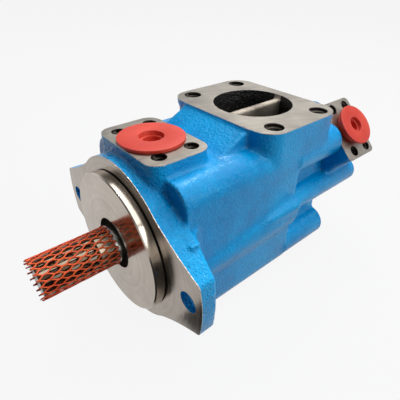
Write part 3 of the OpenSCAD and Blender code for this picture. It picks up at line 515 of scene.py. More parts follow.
# %% [markdown]
# ### Rough iron, rubber and plastics
# The core of the inlet is raw iron, made nearly black as painted shade of the deep passage. Threads and screws
# are nearly black too, and rubber and plastics take their skin from a mould. All of them have an even grain,
# so they share the cast pattern.

# %% Grained finishes
def grained(name, dark, light, rough, bump, grain, coarse, **sockets):
    return finish(name, dark, light, rough, bump, cast_grain, {"Grain": grain, "Coarse": coarse}, **sockets)


# Painted shade: the raw iron of the passage is made nearly black, while its web keeps bare iron.
core_shade_black = grained("painted_shade_core_iron", (8, 8, 9), (26, 24, 23), (0.12, 0.5), (1.0, 0.8), 600, 1.4,
                     Specular_IOR_Level=0.5)
core_bare = grained("bare_core_iron", (120, 110, 98), (186, 176, 162), (0.38, 0.6), (0.35, 0.3), 900, 0.8,
                    Metallic=0.75)
thread_dark = grained("threaded_iron", (16, 15, 14), (52, 49, 46), (0.35, 0.6), (0.2, 0.1), 1600, 0.3,
                      Metallic=0.9)
thread_cut = grained("cut_thread", (34, 32, 29), (84, 79, 72), (0.25, 0.4), (0.1, 0.05), 1800, 0.2,
                     Metallic=1.0)
black_oxide = grained("black_oxide", (18, 18, 20), (42, 41, 42), (0.34, 0.5), (0.15, 0.08), 1500, 0.2,
                      Metallic=0.85)
rubber = grained("seal_rubber", (10, 10, 11), (28, 28, 29), (0.42, 0.58), (0.1, 0.05), 2200, 0.3)
net_plastic = grained("net_plastic", (210, 62, 24), (238, 104, 50), (0.34, 0.48), (0.12, 0.08), 1400, 0.5,
                      Specular_IOR_Level=0.35)
cap_plastic = grained("cap_plastic", (194, 52, 37), (211, 68, 49), (0.42, 0.54), (0.10, 0.08), 1300, 0.6,
                      Specular_IOR_Level=0.4)
print("materials:", len(bpy.data.materials))

# %% [markdown]
# ## Tools for building the pieces
# Every piece starts as a bmesh. A turned form is a half outline spun round an axis. A cutter is such a form
# taken away with a Boolean, as a drill or a boring bar does, and the cut faces keep the cutter's material.

# %% Spun forms
ALONG_SHAFT = Matrix.Rotation(math.radians(-90), 4, "X")
VERT, EDGE = bmesh.types.BMVert, bmesh.types.BMEdge


def only(kind, items):
    """The vertices or the edges among the geometry that an operator made."""
    return [item for item in items if isinstance(item, kind)]


def at(point, axis):
    """Matrix that puts a form drawn on local Z at a point, along an axis."""
    return Matrix.Translation(point) @ axis.to_track_quat("Z", "Y").to_matrix().to_4x4()


def settle(form, before, place):
    """Closes what was spun since a set of vertices was noted, turns its faces outwards and places it."""
    new = [v for v in form.verts if v not in before]
    bmesh.ops.remove_doubles(form, verts=new, dist=1e-7)
    new = [v for v in form.verts if v not in before]
    bmesh.ops.recalc_face_normals(form, faces=list({face for vert in new for face in vert.link_faces}))
    bmesh.ops.transform(form, matrix=place, verts=new)


def spin_profile(form, profile, place, steps):
    """Adds a closed solid: a profile of (radius, height) points, from axis to axis, spun round local Z."""
    before = set(form.verts)
    points = [form.verts.new((radius, 0, height)) for radius, height in profile]
    edges = [form.edges.new(pair) for pair in zip(points, points[1:])]
    bmesh.ops.spin(form, geom=points + edges, cent=(0, 0, 0), axis=(0, 0, 1), angle=math.tau, steps=steps,
                   use_merge=True)
    settle(form, before, place)


def stepped(start, *steps):
    """Half section of a stepped bar: each step has a radius and the height where it ends."""
    profile = [(0, start)]
    for radius, end in steps:
        profile += [(radius, profile[-1][1]), (radius, end)]
    return profile + [(0, profile[-1][1])]


def add_rods(form, starts, axis, radius, length, steps=40):
    """Adds plain round bars to a bmesh, from their start points along an axis."""
    for start in starts:
        spin_profile(form, stepped(0, (radius, length)), at(start, axis), steps)

# %% Objects and Booleans
def opened(made):
    """A bmesh with a copy of an object's mesh."""
    form = bmesh.new()
    form.from_mesh(made.data)
    return form


def closed(made, form):
    """Writes a bmesh back into an object's mesh."""
    form.to_mesh(made.data)
    form.free()


def bake(made):
    """Applies the object's modifiers to its mesh."""
    bpy.context.view_layer.update()
    result = bpy.data.meshes.new_from_object(made.evaluated_get(bpy.context.evaluated_depsgraph_get()))
    made.modifiers.clear()
    old, made.data = made.data, result
    bpy.data.meshes.remove(old)


def combine(made, tool, operation="DIFFERENCE"):
    """Takes a second solid away from a piece or joins it on; the tool is used up."""
    change = made.modifiers.new(operation, "BOOLEAN")
    change.operation, change.object = operation, tool
    change.solver, change.material_mode = "MANIFOLD", "TRANSFER"
    bake(made)
    bpy.data.objects.remove(tool)


def shade(made, degrees=32):
    """Smooth shading that keeps edges sharper than an angle."""
    made.data.shade_smooth()
    made.data.set_sharp_from_angle(angle=math.radians(degrees))

# %% [markdown]
# ## Castings
# A rough casting comes from the sand with every edge round and a few millimetres of extra iron on the
# faces to be cut. The same steps work here: copy the plain solid, close its bores, push the faces to be cut
# outwards, make one even skin of it with Remesh, and relax that skin, which rounds edges and inner corners.
# Planes then cut the extra iron off and leave flat faces with crisp edges.

# %% From a solid to a rough casting
FINE_GRAIN = 1.25 * MM
GRAIN = FINE_GRAIN
EDGE_PASSES = 2
STOCK = 6 * MM


def pour(node, cut_faces, fill_bores):
    """A bmesh of a node's solid with closed bores and extra iron on its cut faces."""
    form = opened(nodes[node])
    bmesh.ops.remove_doubles(form, verts=form.verts, dist=1e-6)
    for point, normal, _ in cut_faces:
        flat = [face for face in form.faces if face.normal.dot(normal) > 0.999
                and abs((face.calc_center_median() - Vector(point)).dot(normal)) < 0.02 * MM]
        raised = bmesh.ops.extrude_face_region(form, geom=flat)
        bmesh.ops.translate(form, verts=only(VERT, raised["geom"]), vec=STOCK * Vector(normal))
    fill_bores(form)
    return form


def relax(form, passes):
    """Moves each vertex towards its neighbours, many times over, which rounds edges."""
    for _ in range(passes):
        bmesh.ops.smooth_vert(form, verts=form.verts, factor=0.5, use_axis_x=True, use_axis_y=True,
                              use_axis_z=True)


def skin(name, form, *materials, fillet=14, keep=lambda place: 0):
    """One even closed skin over a bmesh: small radii on edges, larger ones in inner corners.

    Passes for inner corners may only add iron, and keep says which share of it a place does without.
    """
    made = piece(name, form, *materials)
    remesh = made.modifiers.new("skin", "REMESH")
    remesh.mode, remesh.voxel_size = "VOXEL", GRAIN
    bake(made)
    form = opened(made)
    share = (FINE_GRAIN / GRAIN) ** 2
    relax(form, max(1, round(EDGE_PASSES * share)))
    form.normal_update()
    before = [(v.co.copy(), v.normal.copy()) for v in form.verts]
    relax(form, round(fillet * share))
    for vert, (place, normal) in zip(form.verts, before):
        outwards = max(0.0, (vert.co - place).dot(normal))
        vert.co = place + (1 - min(1.0, max(0.0, keep(place)))) * outwards * normal
    relax(form, 1)
    closed(made, form)
    return made


def mill(made, cut_faces):
    """Cuts the extra iron off at each plane and closes the cut with a flat face of its own finish."""
    form = opened(made)
    for point, normal, slot in cut_faces:
        cut = bmesh.ops.bisect_plane(form, geom=form.verts[:] + form.edges[:] + form.faces[:], dist=1e-7,
                                     plane_co=point, plane_no=normal, clear_outer=True)
        filled = bmesh.ops.holes_fill(form, edges=only(EDGE, cut["geom_cut"]), sides=0)
        for face in filled["faces"]:
            face.material_index = slot
    bmesh.ops.recalc_face_normals(form, faces=form.faces)
    closed(made, form)


print("skin mesh", round(GRAIN / MM, 2), "mm")

# %% [markdown]
# ### Holes
# The frame's mounts say where the bolt holes are and how wide. A bore is a little wider than the round
# piece in it, and a cap screw has a clearance hole with a pocket for its head. In the rough casting each
# hole is closed with a wider rod, so that the skin runs flat across its mouth.

# %% Bolt patterns
def spots(mount):
    """Hole centres of a rectangular bolt pattern."""
    dims = mounts[mount]["dims"]
    half_x, half_y = dims["spacing_x_mm"] * MM / 2, dims.get("spacing_y_mm", 0) * MM / 2
    return [Vector(mounts[mount]["pos_m"]) + i * half_x * X + j * half_y * Y
            for i in (-1, 1) for j in ((-1, 1) if half_y else (0,))]


def hole_r(mount):
    return mounts[mount]["dims"]["hole_r_mm"] * MM


flange_holes, port_1_holes, inlet_holes = map(spots, ("flange_bolts", "outlet_1_bolts", "inlet_bolts"))
half_pcd = mounts["outlet_2_bolts_upper"]["dims"]["pcd_mm"] * MM / 2
port_2_holes = [pair + k * half_pcd * Y + PAD_2_RISE for pair in (pair_up, pair_down) for k in (-1, 1)]
R_FLANGE_HOLE, R_INLET_HOLE = hole_r("flange_bolts"), hole_r("inlet_bolts")
R_PORT_1_HOLE, R_PORT_2_HOLE = hole_r("outlet_1_bolts"), hole_r("outlet_2_bolts_upper")
INLET_R, OUTLET_1_R, OUTLET_2_R = 38 * MM, 16 * MM, 9.5 * MM
M16, M16_HOLE_R, M16_POCKET_R = 16 * MM, 8.75 * MM, 12.5 * MM
M12, M12_HOLE_R, M12_POCKET_R = 12 * MM, 6.5 * MM, 9.5 * MM

screw_x = high("body_screws", "x") - 0.75 * M16
body_screws = [Vector((i * screw_x, 0, k * screw_x)) for i in (-1, 1) for k in (-1, 1)]
screw_r = high("cover_screws", "x") - 0.75 * M12
cover_screws = [screw_r * way for way in (X, -X, Z, -Z)]
print("screws at", round(screw_x / MM, 2), "and", round(screw_r / MM, 2), "mm")

# %% Drills and plugs
OVERRUN = 5 * MM


def bore_r(node):
    """Radius of the bore that holds a round node."""
    return high(node, "x") + 0.05 * MM


def at_y(places, y):
    return [place + y * Y for place in places]


def plug(form, mouths, axis, radius, depth, steps=40):
    """Closes holes, from inside them up through the extra iron on their face."""
    add_rods(form, [Vector(mouth) - depth * axis for mouth in mouths], axis, radius, depth + STOCK, steps)


def tapped(form, mouths, axis, radius, depth):
    """Cutter for blind tapped holes: chamfered mouth, straight wall, drill point."""
    wide = radius + 1.6 * MM
    profile = [(0, -depth - 1.6 * MM), (radius, -depth), (radius, -0.6 * MM), (wide, MM), (wide, OVERRUN),
               (0, OVERRUN)]
    for mouth in mouths:
        spin_profile(form, profile, at(mouth, axis), 40)


def screw_holes(form, places, start, seat, end, radius, pocket_r):
    """Cutter for clearance holes along the shaft, with pockets for the heads at the rear."""
    profile = stepped(start - OVERRUN, (radius, seat), (pocket_r, end + OVERRUN))
    for place in places:
        spin_profile(form, profile, Matrix.Translation(place) @ ALONG_SHAFT, 48)


def boring_bar(*sections):
    """Cutter for bores along the shaft, from their half sections."""
    form = bmesh.new()
    for section in sections:
        spin_profile(form, section, ALONG_SHAFT, 96)
    return piece("boring_bar", form, bored)


print("inlet holes:", len(inlet_holes), "of radius", round(R_INLET_HOLE / MM, 2), "mm")

# %% [markdown]
# ### Where the paint ends
# Each point where the enamel meets a milled face gets 1 in a point attribute, which the material turns into
# a ragged line. Seams and flange holes are left out, since they are hidden or painted.

# %% Edge of the paint
def mark_milled_edges(made):
    """Stores 1 on the points where enamel meets a milled face that stays in sight."""
    mesh = made.data
    touched = {True: set(), False: set()}
    for face in mesh.polygons:
        material = mesh.materials[face.material_index]
        if material in (enamel, milled, faced):
            touched[material == enamel].update(face.vertices)
    seen = mesh.attributes.new("milled_edge", "FLOAT", "POINT")
    for index in touched[True] & touched[False]:
        place = mesh.vertices[index].co
        at_seam = min(abs(place.y - SEAM_1), abs(place.y - SEAM_2)) < 0.1 * MM
        at_hole = any(math.hypot(place.x - spot.x, place.z - spot.z) < R_FLANGE_HOLE + 0.1 * MM
                      for spot in flange_holes)
        seen.data[index].value = float(not at_seam and not at_hole)

# %% [markdown]
# ### Front body
# The front body carries the two-bolt flange, the pilot, the shaft bearing and outlet port 1. Its flange
# face, pilot, port face and rear face are machined, and everything else is raw and painted, even the inside
# of the two mounting holes. A low disc behind the flange gives the casting its full neck.

# %% Front body, rough
front_cuts = [((0, FLANGE_Y, 0), -Y, 2), ((0, SEAM_1, 0), Y, 1), (PORT_1, Z, 1)]
NECK = [(0, 12 * MM), (74 * MM, 12 * MM), (72 * MM, 22 * MM), (0, 22 * MM)]
FRONT_FILL_R, GROOVE_FILL_R = 57 * MM, 64.5 * MM


def fill_front(form):
    spin_profile(form, NECK, ALONG_SHAFT, 96)
    add_rods(form, [(0, -STOCK, 0)], Y, FRONT_FILL_R, SEAM_1 + 2 * STOCK, 96)
    plug(form, [(0, SEAM_1, 0)], Y, GROOVE_FILL_R, 10 * MM, 96)
    plug(form, [(0, *PORT_1.yz)], Z, OUTLET_1_R + 1.5 * MM, PORT_1.z - 40 * MM)
    add_rods(form, at_y(flange_holes, -STOCK), Y, R_FLANGE_HOLE + 0.5 * MM, 15.5 * MM + STOCK)
    plug(form, port_1_holes, Z, R_PORT_1_HOLE + MM, 28 * MM)
    plug(form, at_y(body_screws, SEAM_1), Y, M16 / 2 + MM, 30 * MM)


front = skin("front_casting", pour("front_body", front_cuts, fill_front), enamel, milled, faced,
             keep=lambda place: (26 * MM - place.y) / (12 * MM))
mill(front, front_cuts)
print("front casting rough:", len(front.data.polygons))

# %% [markdown]
# The pilot is turned, so it is a spun blank joined onto the casting. A groove at its foot leaves room for the
# edge of the machine that it centres in. Its dark finish is oil, and painted shade of the narrow groove too.

# %% Pilot
GROOVE = 1.2 * MM
pilot = bmesh.new()
spin_profile(pilot, [(0, PILOT_Y), (PILOT_R - MM, PILOT_Y), (PILOT_R, PILOT_Y + MM), (PILOT_R, -1.1 * MM),
                     (PILOT_R - GROOVE, -MM), (PILOT_R - GROOVE, 4 * MM), (0, 4 * MM)], ALONG_SHAFT, 160)
pilot.normal_update()
for side in pilot.faces:
    centre = side.calc_center_median()
    if -1.08 * MM < centre.y < 3 * MM and math.hypot(centre.x, centre.z) > PILOT_R / 2:
        # The groove takes the dark threaded finish: oil, and painted shade of the groove.
        side.material_index = 1
combine(front, piece("pilot_blank", pilot, turned_iron, thread_dark), "UNION")
print("pilot radius", round(PILOT_R / MM, 2), "mm")

# %% [markdown]
# The inside is bored from both ends: a window for the shaft, the seats of the seals, the bearing and its
# ring, a chamber, and the seat of the large cartridge. One stepped profile stands for all of those cuts.

# %% Front bores and holes
WINDOW_R, LAND_R, OIL_CHAMBER_R = 23.5 * MM, 24 * MM, 50.05 * MM
RING_DEPTH, RING_WIDTH = 2 * MM, 2.1 * MM


def front_bores():
    """Half section of the machined inside, from the window in the pilot to the rear face."""
    bearing_r, bearing_end = bore_r("bearing_outer_ring"), high("bearing_outer_ring")
    return stepped(PILOT_Y - 3 * MM, (WINDOW_R, low("shaft_seal_outer")),
                   (bore_r("shaft_seal_outer"), high("shaft_seal_inner") + 0.1 * MM),
                   (LAND_R, low("bearing_outer_ring")), (bearing_r, bearing_end),
                   (bearing_r + RING_DEPTH, bearing_end + RING_WIDTH), (bearing_r, bearing_end + 4.2 * MM),
                   (OIL_CHAMBER_R, low("front_outlet_support") - 2 * MM),
                   (bore_r("front_outlet_support"), SEAM_1 + 3 * MM))


combine(front, boring_bar(front_bores()))
holes = bmesh.new()
add_rods(holes, [(0, PORT_1.y, 44 * MM)], Z, OUTLET_1_R, 50 * MM, 64)
tapped(holes, port_1_holes, Z, R_PORT_1_HOLE, 24.4 * MM)
add_rods(holes, at_y(body_screws, SEAM_1 - 25.6 * MM), Y, M16 / 2, 30 * MM)
combine(front, piece("drills", holes, thread_dark))
holes = bmesh.new()
add_rods(holes, at_y(flange_holes, -OVERRUN), Y, R_FLANGE_HOLE, 40 * MM, 64)
combine(front, piece("flange_drills", holes, enamel))
mark_milled_edges(front)
shade(front)
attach(front, "housing")
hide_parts("front_body")
print("front casting:", len(front.data.polygons), "faces,", [m.name for m in front.data.materials])

# %% [markdown]
# ### Inlet body
# Oil comes in through the large port on top and spreads to both cartridges. A sand core makes this passage,
# so its walls stay raw and its corners are round, and a web left standing across it ties the port's sides
# together. The core is made like a casting of its own and then taken out of the body.

# %% Inlet body, rough
inlet_cuts = [((0, SEAM_1, 0), -Y, 1), ((0, SEAM_2, 0), Y, 1), ((0, PORT_IN_Y, PORT_IN_Z), Z, 1)]
CHAMBER_0 = high("front_inlet_support") + 2 * MM
LIP_1 = low("rear_inlet_support")
LIP_0 = LIP_1 - 4 * MM
HEAD_SEAT = high("body_screws") - M16
CHAMBER_FILL_R = 46 * MM


def fill_inlet(form):
    add_rods(form, [(0, SEAM_1 - STOCK, 0)], Y, FRONT_FILL_R, CHAMBER_0 - SEAM_1 + STOCK + MM, 96)
    plug(form, [(0, SEAM_2, 0)], Y, CHAMBER_FILL_R, SEAM_2 - CHAMBER_0, 96)
    plug(form, [(0, PORT_IN_Y, PORT_IN_Z)], Z, INLET_R + 1.5 * MM, PORT_IN_Z - 25 * MM, 64)
    plug(form, inlet_holes, Z, R_INLET_HOLE + MM, 28 * MM)
    add_rods(form, at_y(body_screws, SEAM_1 - STOCK), Y, 10 * MM, SEAM_2 - SEAM_1 + STOCK - 10 * MM)
    plug(form, at_y(body_screws, SEAM_2), Y, M16_POCKET_R + 0.7 * MM, 19 * MM)
    plug(form, at_y(cover_screws, SEAM_2), Y, M12 / 2 + MM, 24 * MM)


inlet = skin("inlet_casting", pour("inlet_body", inlet_cuts, fill_inlet), enamel, milled)
mill(inlet, inlet_cuts)
print("inlet casting rough:", len(inlet.data.polygons))

# %% [markdown]
# The core is the passage's own shape. A thin box taken out of it becomes the web, and a second skin rounds
# the web's corners too.

# %% Core of the inlet
WEB_HALF, WEB_BOTTOM, WEB_TOP = 3.8 * MM, 23 * MM, PORT_IN_Z - 4.2 * MM


def make_core():
    """Solid of the cast passage: the chamber round the shaft and the round port above it."""
    passage = bmesh.new()
    add_rods(passage, [(0, CHAMBER_0 - 8 * MM, 0)], Y, 44 * MM, LIP_0 - CHAMBER_0 + 8 * MM, 96)
    add_rods(passage, [(0, PORT_IN_Y, 30 * MM)], Z, INLET_R, PORT_IN_Z - 30 * MM + 2 * STOCK, 96)
    core = skin("core", passage, core_shade_black, fillet=2)
    web = bmesh.new()
    bmesh.ops.create_cube(web, size=1)
    bmesh.ops.scale(web, verts=web.verts, vec=(2 * WEB_HALF, 120 * MM, WEB_TOP - WEB_BOTTOM))
    bmesh.ops.translate(web, verts=web.verts, vec=(0, PORT_IN_Y, (WEB_TOP + WEB_BOTTOM) / 2))
    combine(core, piece("web", web, core_bare))
    form = opened(core)
    bpy.data.objects.remove(core)
    return skin("core", form, core_shade_black, fillet=2)


combine(inlet, make_core())
print("inlet casting with its passage:", len(inlet.data.polygons))

# %% Inlet bores and holes
LIP_R = 35.05 * MM


def bare_the_web(mesh):
    """The web's faces get bare iron in place of the black of the passage, which is painted shade."""
    mesh.materials.append(core_bare)
    black, bare = mesh.materials.find(core_shade_black.name), len(mesh.materials) - 1
    for face in mesh.polygons:
        on_web = abs(face.center.x) < WEB_HALF + 0.5 * MM and face.center.z > WEB_BOTTOM + MM
        if face.material_index == black and on_web:
            face.material_index = bare


combine(inlet, boring_bar(stepped(SEAM_1 - OVERRUN, (bore_r("front_inlet_support"), CHAMBER_0)),
                          stepped(LIP_0 - 3 * MM, (LIP_R, LIP_1),
                                  (bore_r("rear_inlet_support"), SEAM_2 + OVERRUN))))
holes = bmesh.new()
tapped(holes, inlet_holes, Z, R_INLET_HOLE, 25.5 * MM)
screw_holes(holes, body_screws, SEAM_1, HEAD_SEAT, SEAM_2, M16_HOLE_R, M16_POCKET_R)
add_rods(holes, at_y(cover_screws, SEAM_2 - 20.4 * MM), Y, M12 / 2, 26 * MM)
combine(inlet, piece("drills", holes, thread_dark))
bare_the_web(inlet.data)
mark_milled_edges(inlet)
shade(inlet)
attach(inlet, "housing")
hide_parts("inlet_body")
print("inlet casting:", len(inlet.data.polygons), "faces,", [m.name for m in inlet.data.materials])

# %% [markdown]
# ### Rear cover
# The rear cover closes the small cartridge and turns its oil out sideways through outlet port 2, whose face
# leans at 45 degrees. Four bosses take the cover screws.

# %% Rear cover, rough
cover_cuts = [((0, SEAM_2, 0), -Y, 1), ((0, COVER_END, 0), Y, 0), (PORT_2, PORT_2_AXIS, 1)]
RING_END = high("rear_outlet_support") + 1 * MM


def fill_cover(form):
    add_rods(form, [(0, SEAM_2 - STOCK, 0)], Y, 41 * MM, RING_END - SEAM_2 + STOCK + MM, 96)
    add_rods(form, [(0, RING_END, 0)], Y, 35 * MM, 5 * MM, 64)
    add_rods(form, [(0, RING_END, 0)], Y, 16.5 * MM, 15 * MM, 48)
    plug(form, [PORT_2], PORT_2_AXIS, OUTLET_2_R + MM, 55 * MM)
    plug(form, port_2_holes, PORT_2_AXIS, R_PORT_2_HOLE + MM, 20 * MM)
    add_rods(form, at_y(cover_screws, SEAM_2 - STOCK), Y, M12_HOLE_R + MM, COVER_END - SEAM_2 + STOCK - 2 * MM)
    plug(form, at_y(cover_screws, COVER_END), Y, M12_POCKET_R + MM, 15 * MM)


cover = skin("cover_casting", pour("rear_cover", cover_cuts, fill_cover), enamel, milled)
mill(cover, cover_cuts)
print("cover casting rough:", len(cover.data.polygons))

# %% Cover bores and holes
BACK_R = 33.05 * MM
BUSH_1 = high("rear_bush") + 0.2 * MM
combine(cover, boring_bar(stepped(SEAM_2 - OVERRUN, (bore_r("rear_outlet_support"), RING_END),
                                  (BACK_R, low("rear_bush")), (bore_r("rear_bush"), BUSH_1))))
holes = bmesh.new()
add_rods(holes, [PORT_2 - 54 * MM * PORT_2_AXIS], PORT_2_AXIS, OUTLET_2_R, 60 * MM, 48)
tapped(holes, port_2_holes, PORT_2_AXIS, R_PORT_2_HOLE, 18 * MM)
screw_holes(holes, cover_screws, SEAM_2, COVER_END - 13 * MM, COVER_END, M12_HOLE_R, M12_POCKET_R)
combine(cover, piece("drills", holes, thread_dark))
mark_milled_edges(cover)
shade(cover)
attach(cover, "housing")
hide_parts("rear_cover")
print("cover casting:", len(cover.data.polygons), "faces,", [m.name for m in cover.data.materials])

# %% [markdown]
# ## Threads in the tapped holes
# A tap leaves a helical ridge in each hole, and from above two or three turns catch the light. A ridge is
# a small triangle spun with a step along the axis, so a spin with dvec makes the whole helix in one go.

# %% Thread ridges
THREAD_STEPS = 20


def add_thread(form, point, axis, radius, pitch, turns):
    """Adds a helical ridge that stands inwards from the wall of a hole, from its mouth down."""
    before = set(form.verts)
    tooth = [(radius + 0.3 * MM, -0.6 * pitch), (radius - 0.5 * pitch, 0), (radius + 0.3 * MM, 0.6 * pitch)]
    corners = [form.verts.new((r, 0, h)) for r, h in tooth]
    start = form.faces.new(corners)
    bmesh.ops.spin(form, geom=[start] + start.edges[:] + corners, cent=(0, 0, 0), axis=(0, 0, 1),
                   angle=math.tau * turns, steps=THREAD_STEPS * turns, dvec=(0, 0, -pitch / THREAD_STEPS))
    settle(form, before, at(point - 2.2 * MM * axis, axis))


threads = bmesh.new()
for mouths, *cut in ((inlet_holes, Z, R_INLET_HOLE, 2.0 * MM, 10),
                     (port_1_holes, Z, R_PORT_1_HOLE, 1.75 * MM, 10),
                     (port_2_holes, PORT_2_AXIS, R_PORT_2_HOLE, 1.5 * MM, 9)):
    for mouth in mouths:
        add_thread(threads, mouth, *cut)
tapped_threads = piece("tapped_threads", threads, thread_cut)
shade(tapped_threads, 40)
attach(tapped_threads, "housing")
print("thread ridges:", len(tapped_threads.data.polygons), "faces")

# %% [markdown]
# ## Cap screws
# Socket-head cap screws, sunk in pockets, hold the castings together. A head is turned with a small chamfer
# and stamped with a hex socket, and black oxide keeps it from rusting. Nobody lines the sockets up, so each
# screw gets a turn of its own.

# %% Cap screws
def cut_socket(made, size):
    """Sinks a hex socket into the top of a screw's head."""
    key = bmesh.new()
    bmesh.ops.create_circle(key, cap_ends=True, segments=6, radius=0.86 * size / math.sqrt(3))
    prism = bmesh.ops.extrude_face_region(key, geom=key.faces[:])
    bmesh.ops.translate(key, verts=only(VERT, prism["geom"]), vec=(0, 0, -0.55 * size))
    bmesh.ops.translate(key, verts=key.verts, vec=(0, 0, 0.05 * size))
    bmesh.ops.recalc_face_normals(key, faces=key.faces)
    combine(made, piece("key", key, black_oxide))


def make_cap_screws(name, node, places, size):
    """Cap screws of a thread size, with their heads to the rear, in place of a node."""
    head, half = 0.75 * size, size / 2 - 0.1 * MM
    top, length = high(node), high(node) - low(node)
    form = bmesh.new()
    spin_profile(form, [(0, -length), (half - MM, -length), (half, MM - length), (half, -size),
                        (head - 0.3 * MM, -size), (head, 0.3 * MM - size), (head, -0.09 * size),
                        (0.93 * head, -0.02 * size), (0.87 * head, 0), (0, 0)], Matrix(), 48)
    made = piece(name, form, black_oxide)
    cut_socket(made, size)
    form = opened(made)
    first = form.verts[:]
    one = first + form.edges[:] + form.faces[:]
    for spot in places:
        copy = bmesh.ops.duplicate(form, geom=one)
        turn = Matrix.Rotation(seeded.uniform(0, math.tau), 4, "Z")
        bmesh.ops.transform(form, verts=only(VERT, copy["geom"]), matrix=at(spot + top * Y, Y) @ turn)
    bmesh.ops.delete(form, geom=first, context="VERTS")
    closed(made, form)
    shade(made)
    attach(made, "housing")
    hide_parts(node)
    print(name, len(made.data.polygons), "faces")


seeded = random.Random(7)
make_cap_screws("body_cap_screws", "body_screws", body_screws, M16)
make_cap_screws("cover_cap_screws", "cover_screws", cover_screws, M12)

# %% [markdown]
# ## The net sleeve
# A tube of extruded plastic net protects the shaft's splined end. Two sets of strands wind round it in
# opposite directions, fused where they cross. Stretched over the shaft, a strand runs nearly straight
# through a crossing and swings over between two, which gives pointed, eye-shaped cells. One strand is a
# six-sided ring, pushed along its path step by step.

# %% Path of a strand
STRANDS = 20
CELL = 14.6 * MM
NET_Y0, NET_Y1 = low("shaft_sleeve"), high("shaft_sleeve")
NET_R = (high("shaft_sleeve", "x") + 16.1 * MM) / 2


def swing(y):
    """Angle round the shaft of a strand at a place along it."""
    turn = math.tau / STRANDS / CELL
    half_cell = CELL / 2
    y = y - NET_Y0 + 1.6 * MM
    return turn * (y - 0.8 * half_cell / math.tau * math.sin(math.tau * y / half_cell))


def strand_frame(y, hand, start):
    """Matrix of the strand's section: local X outwards, local Z along the strand."""
    def point(at_y):
        a = hand * swing(at_y) + start
        flare = min(1.0, max(0.0, (at_y - NET_Y1 + 0.8 * MM) / (2.4 * MM)))
        radius = NET_R + hand * 0.18 * MM + 0.9 * MM * flare
        return Vector((radius * math.cos(a), at_y, radius * math.sin(a)))
    here = point(y)
    along = (point(y + 0.2 * MM) - point(y - 0.2 * MM)).normalized()
    out = Vector((here.x, 0, here.z)).normalized()
    side = along.cross(out).normalized()
    return Matrix.Translation(here) @ Matrix((side.cross(along), side, along)).transposed().to_4x4()


print("net radius", round(NET_R / MM, 2), "mm")

# %% Net sleeve
def add_strand(form, hand, start, y_from, y_to, steps):
    """Adds one closed strand between two places along the shaft."""
    ys = [y_from + (y_to - y_from) * k / steps for k in range(steps + 1)]
    verts = bmesh.ops.create_circle(form, cap_ends=True, segments=6, radius=1)["verts"]
    cap = verts[0].link_faces[0]
    edges = cap.edges[:]
    bmesh.ops.scale(form, verts=verts, vec=(0.48 * MM, 0.64 * MM * seeded.uniform(0.9, 1.12), 1))
    now = strand_frame(ys[0], hand, start)
    bmesh.ops.transform(form, verts=verts, matrix=now)
    for y in ys[1:]:
        grown = bmesh.ops.extrude_edge_only(form, edges=edges)["geom"]
        verts = only(VERT, grown)
        edges = [edge for edge in only(EDGE, grown) if set(edge.verts) <= set(verts)]
        ahead = strand_frame(y, hand, start)
        bmesh.ops.transform(form, verts=verts, matrix=ahead @ now.inverted())
        now = ahead
    bmesh.ops.edgeloop_fill(form, edges=edges)


net = bmesh.new()
strand_steps = 50
for hand in (-1, 1):
    for k in range(STRANDS):
        cut_end = NET_Y0 + seeded.uniform(-2.6, -1.2) * MM
        add_strand(net, hand, math.tau * k / STRANDS + seeded.uniform(-0.012, 0.012), cut_end,
                   NET_Y1 + seeded.uniform(1.5, 2.0) * MM, strand_steps)
bmesh.ops.recalc_face_normals(net, faces=net.faces)
net_sleeve = piece("net_sleeve", net, net_plastic)
net_sleeve.data.shade_smooth()
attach(net_sleeve, "sleeve")
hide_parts("shaft_sleeve")
print("net sleeve:", 2 * STRANDS, "strands,", len(net_sleeve.data.polygons), "faces")

# %% [markdown]
# ## Port caps
# A push-in cap keeps dirt out of each outlet: a soft wide flange, a shank that grips the bore and a stepped
# pocket to pull it out by. A moulding has no sharp edge, so the spun form is bevelled all over.

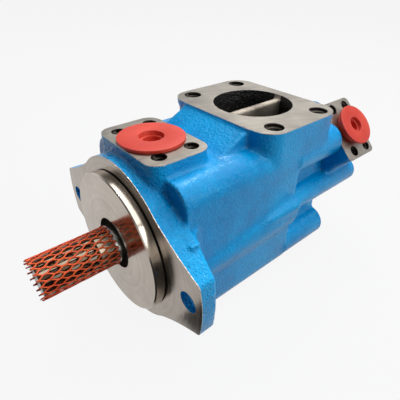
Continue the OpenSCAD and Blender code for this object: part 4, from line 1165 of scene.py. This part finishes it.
# %% Port caps
def make_cap(name, body, node, place, profile, blend):
    """A port cap from a half section; local Z looks out of the port."""
    form = bmesh.new()
    spin_profile(form, profile, place, 72)
    rings = [e for e in form.edges if len(e.link_faces) == 2 and e.calc_face_angle() > math.radians(28)]
    bmesh.ops.bevel(form, geom=rings, offset=blend, offset_type="OFFSET", segments=3, profile=0.5,
                    affect="EDGES", material=-1, clamp_overlap=True)
    bmesh.ops.recalc_face_normals(form, faces=form.faces)
    cap = piece(name, form, cap_plastic)
    cap.data.shade_smooth()
    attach(cap, body)
    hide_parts(node)
    print(name, len(cap.data.polygons), "faces")


def cap_profile(flange_r, thick, lift, body_r, shank_r, shank_length, hole_r):
    """Half section of a cap, in metres, from the bottom of its pocket round to the tip of its shank."""
    top = lift + thick
    return [(0, top - shank_length + 1.5 * MM), (0.75 * hole_r, top - shank_length + 1.5 * MM),
            (0.78 * hole_r, top - 4 * MM), (0.96 * hole_r, top - 3.8 * MM), (hole_r, top), (flange_r, top),
            (flange_r, lift), (body_r + lift / 4, lift), (body_r, 0.3 * MM), (shank_r, 0.3 * MM),
            (shank_r - MM, -shank_length), (0, -shank_length)]


CAP_1 = Vector((0, (low("outlet_plug_1") + high("outlet_plug_1")) / 2, PORT_1.z))
make_cap("port_1_cap", "plug_1", "outlet_plug_1", at(CAP_1, Z),
         cap_profile(27.4 * MM, 2.5 * MM, 0.35 * MM, 25.5 * MM, 13.5 * MM, 14 * MM, 10.4 * MM), 0.7 * MM)
make_cap("port_2_cap", "plug_2", "outlet_plug_2", at(PORT_2, PORT_2_AXIS),
         cap_profile(21 * MM, 2.6 * MM, 6 * MM, 17 * MM, 9 * MM, 13 * MM, 7.9 * MM), 0.6 * MM)

# %% [markdown]
# ## Finishes of the plain pieces
# The inner pieces are already right as they come from the frame, so they only get their metals.

# %% Carried-over pieces
plain_finishes = {
    "black_screws": black_oxide, "seal_rubber": rubber, "bronze": bronze, "plain_iron": plate_iron,
    "polished_steel": bearing_steel, "machined_steel": shaft_steel, "orange_net": net_plastic,
    "red_plastic": cap_plastic, "painted_casting": enamel,
}
for node in nodes.values():
    for index, given in enumerate(node.data.materials):
        node.data.materials[index] = plain_finishes[given.name.split(".")[0]]
print("dressed", len(nodes), "nodes")
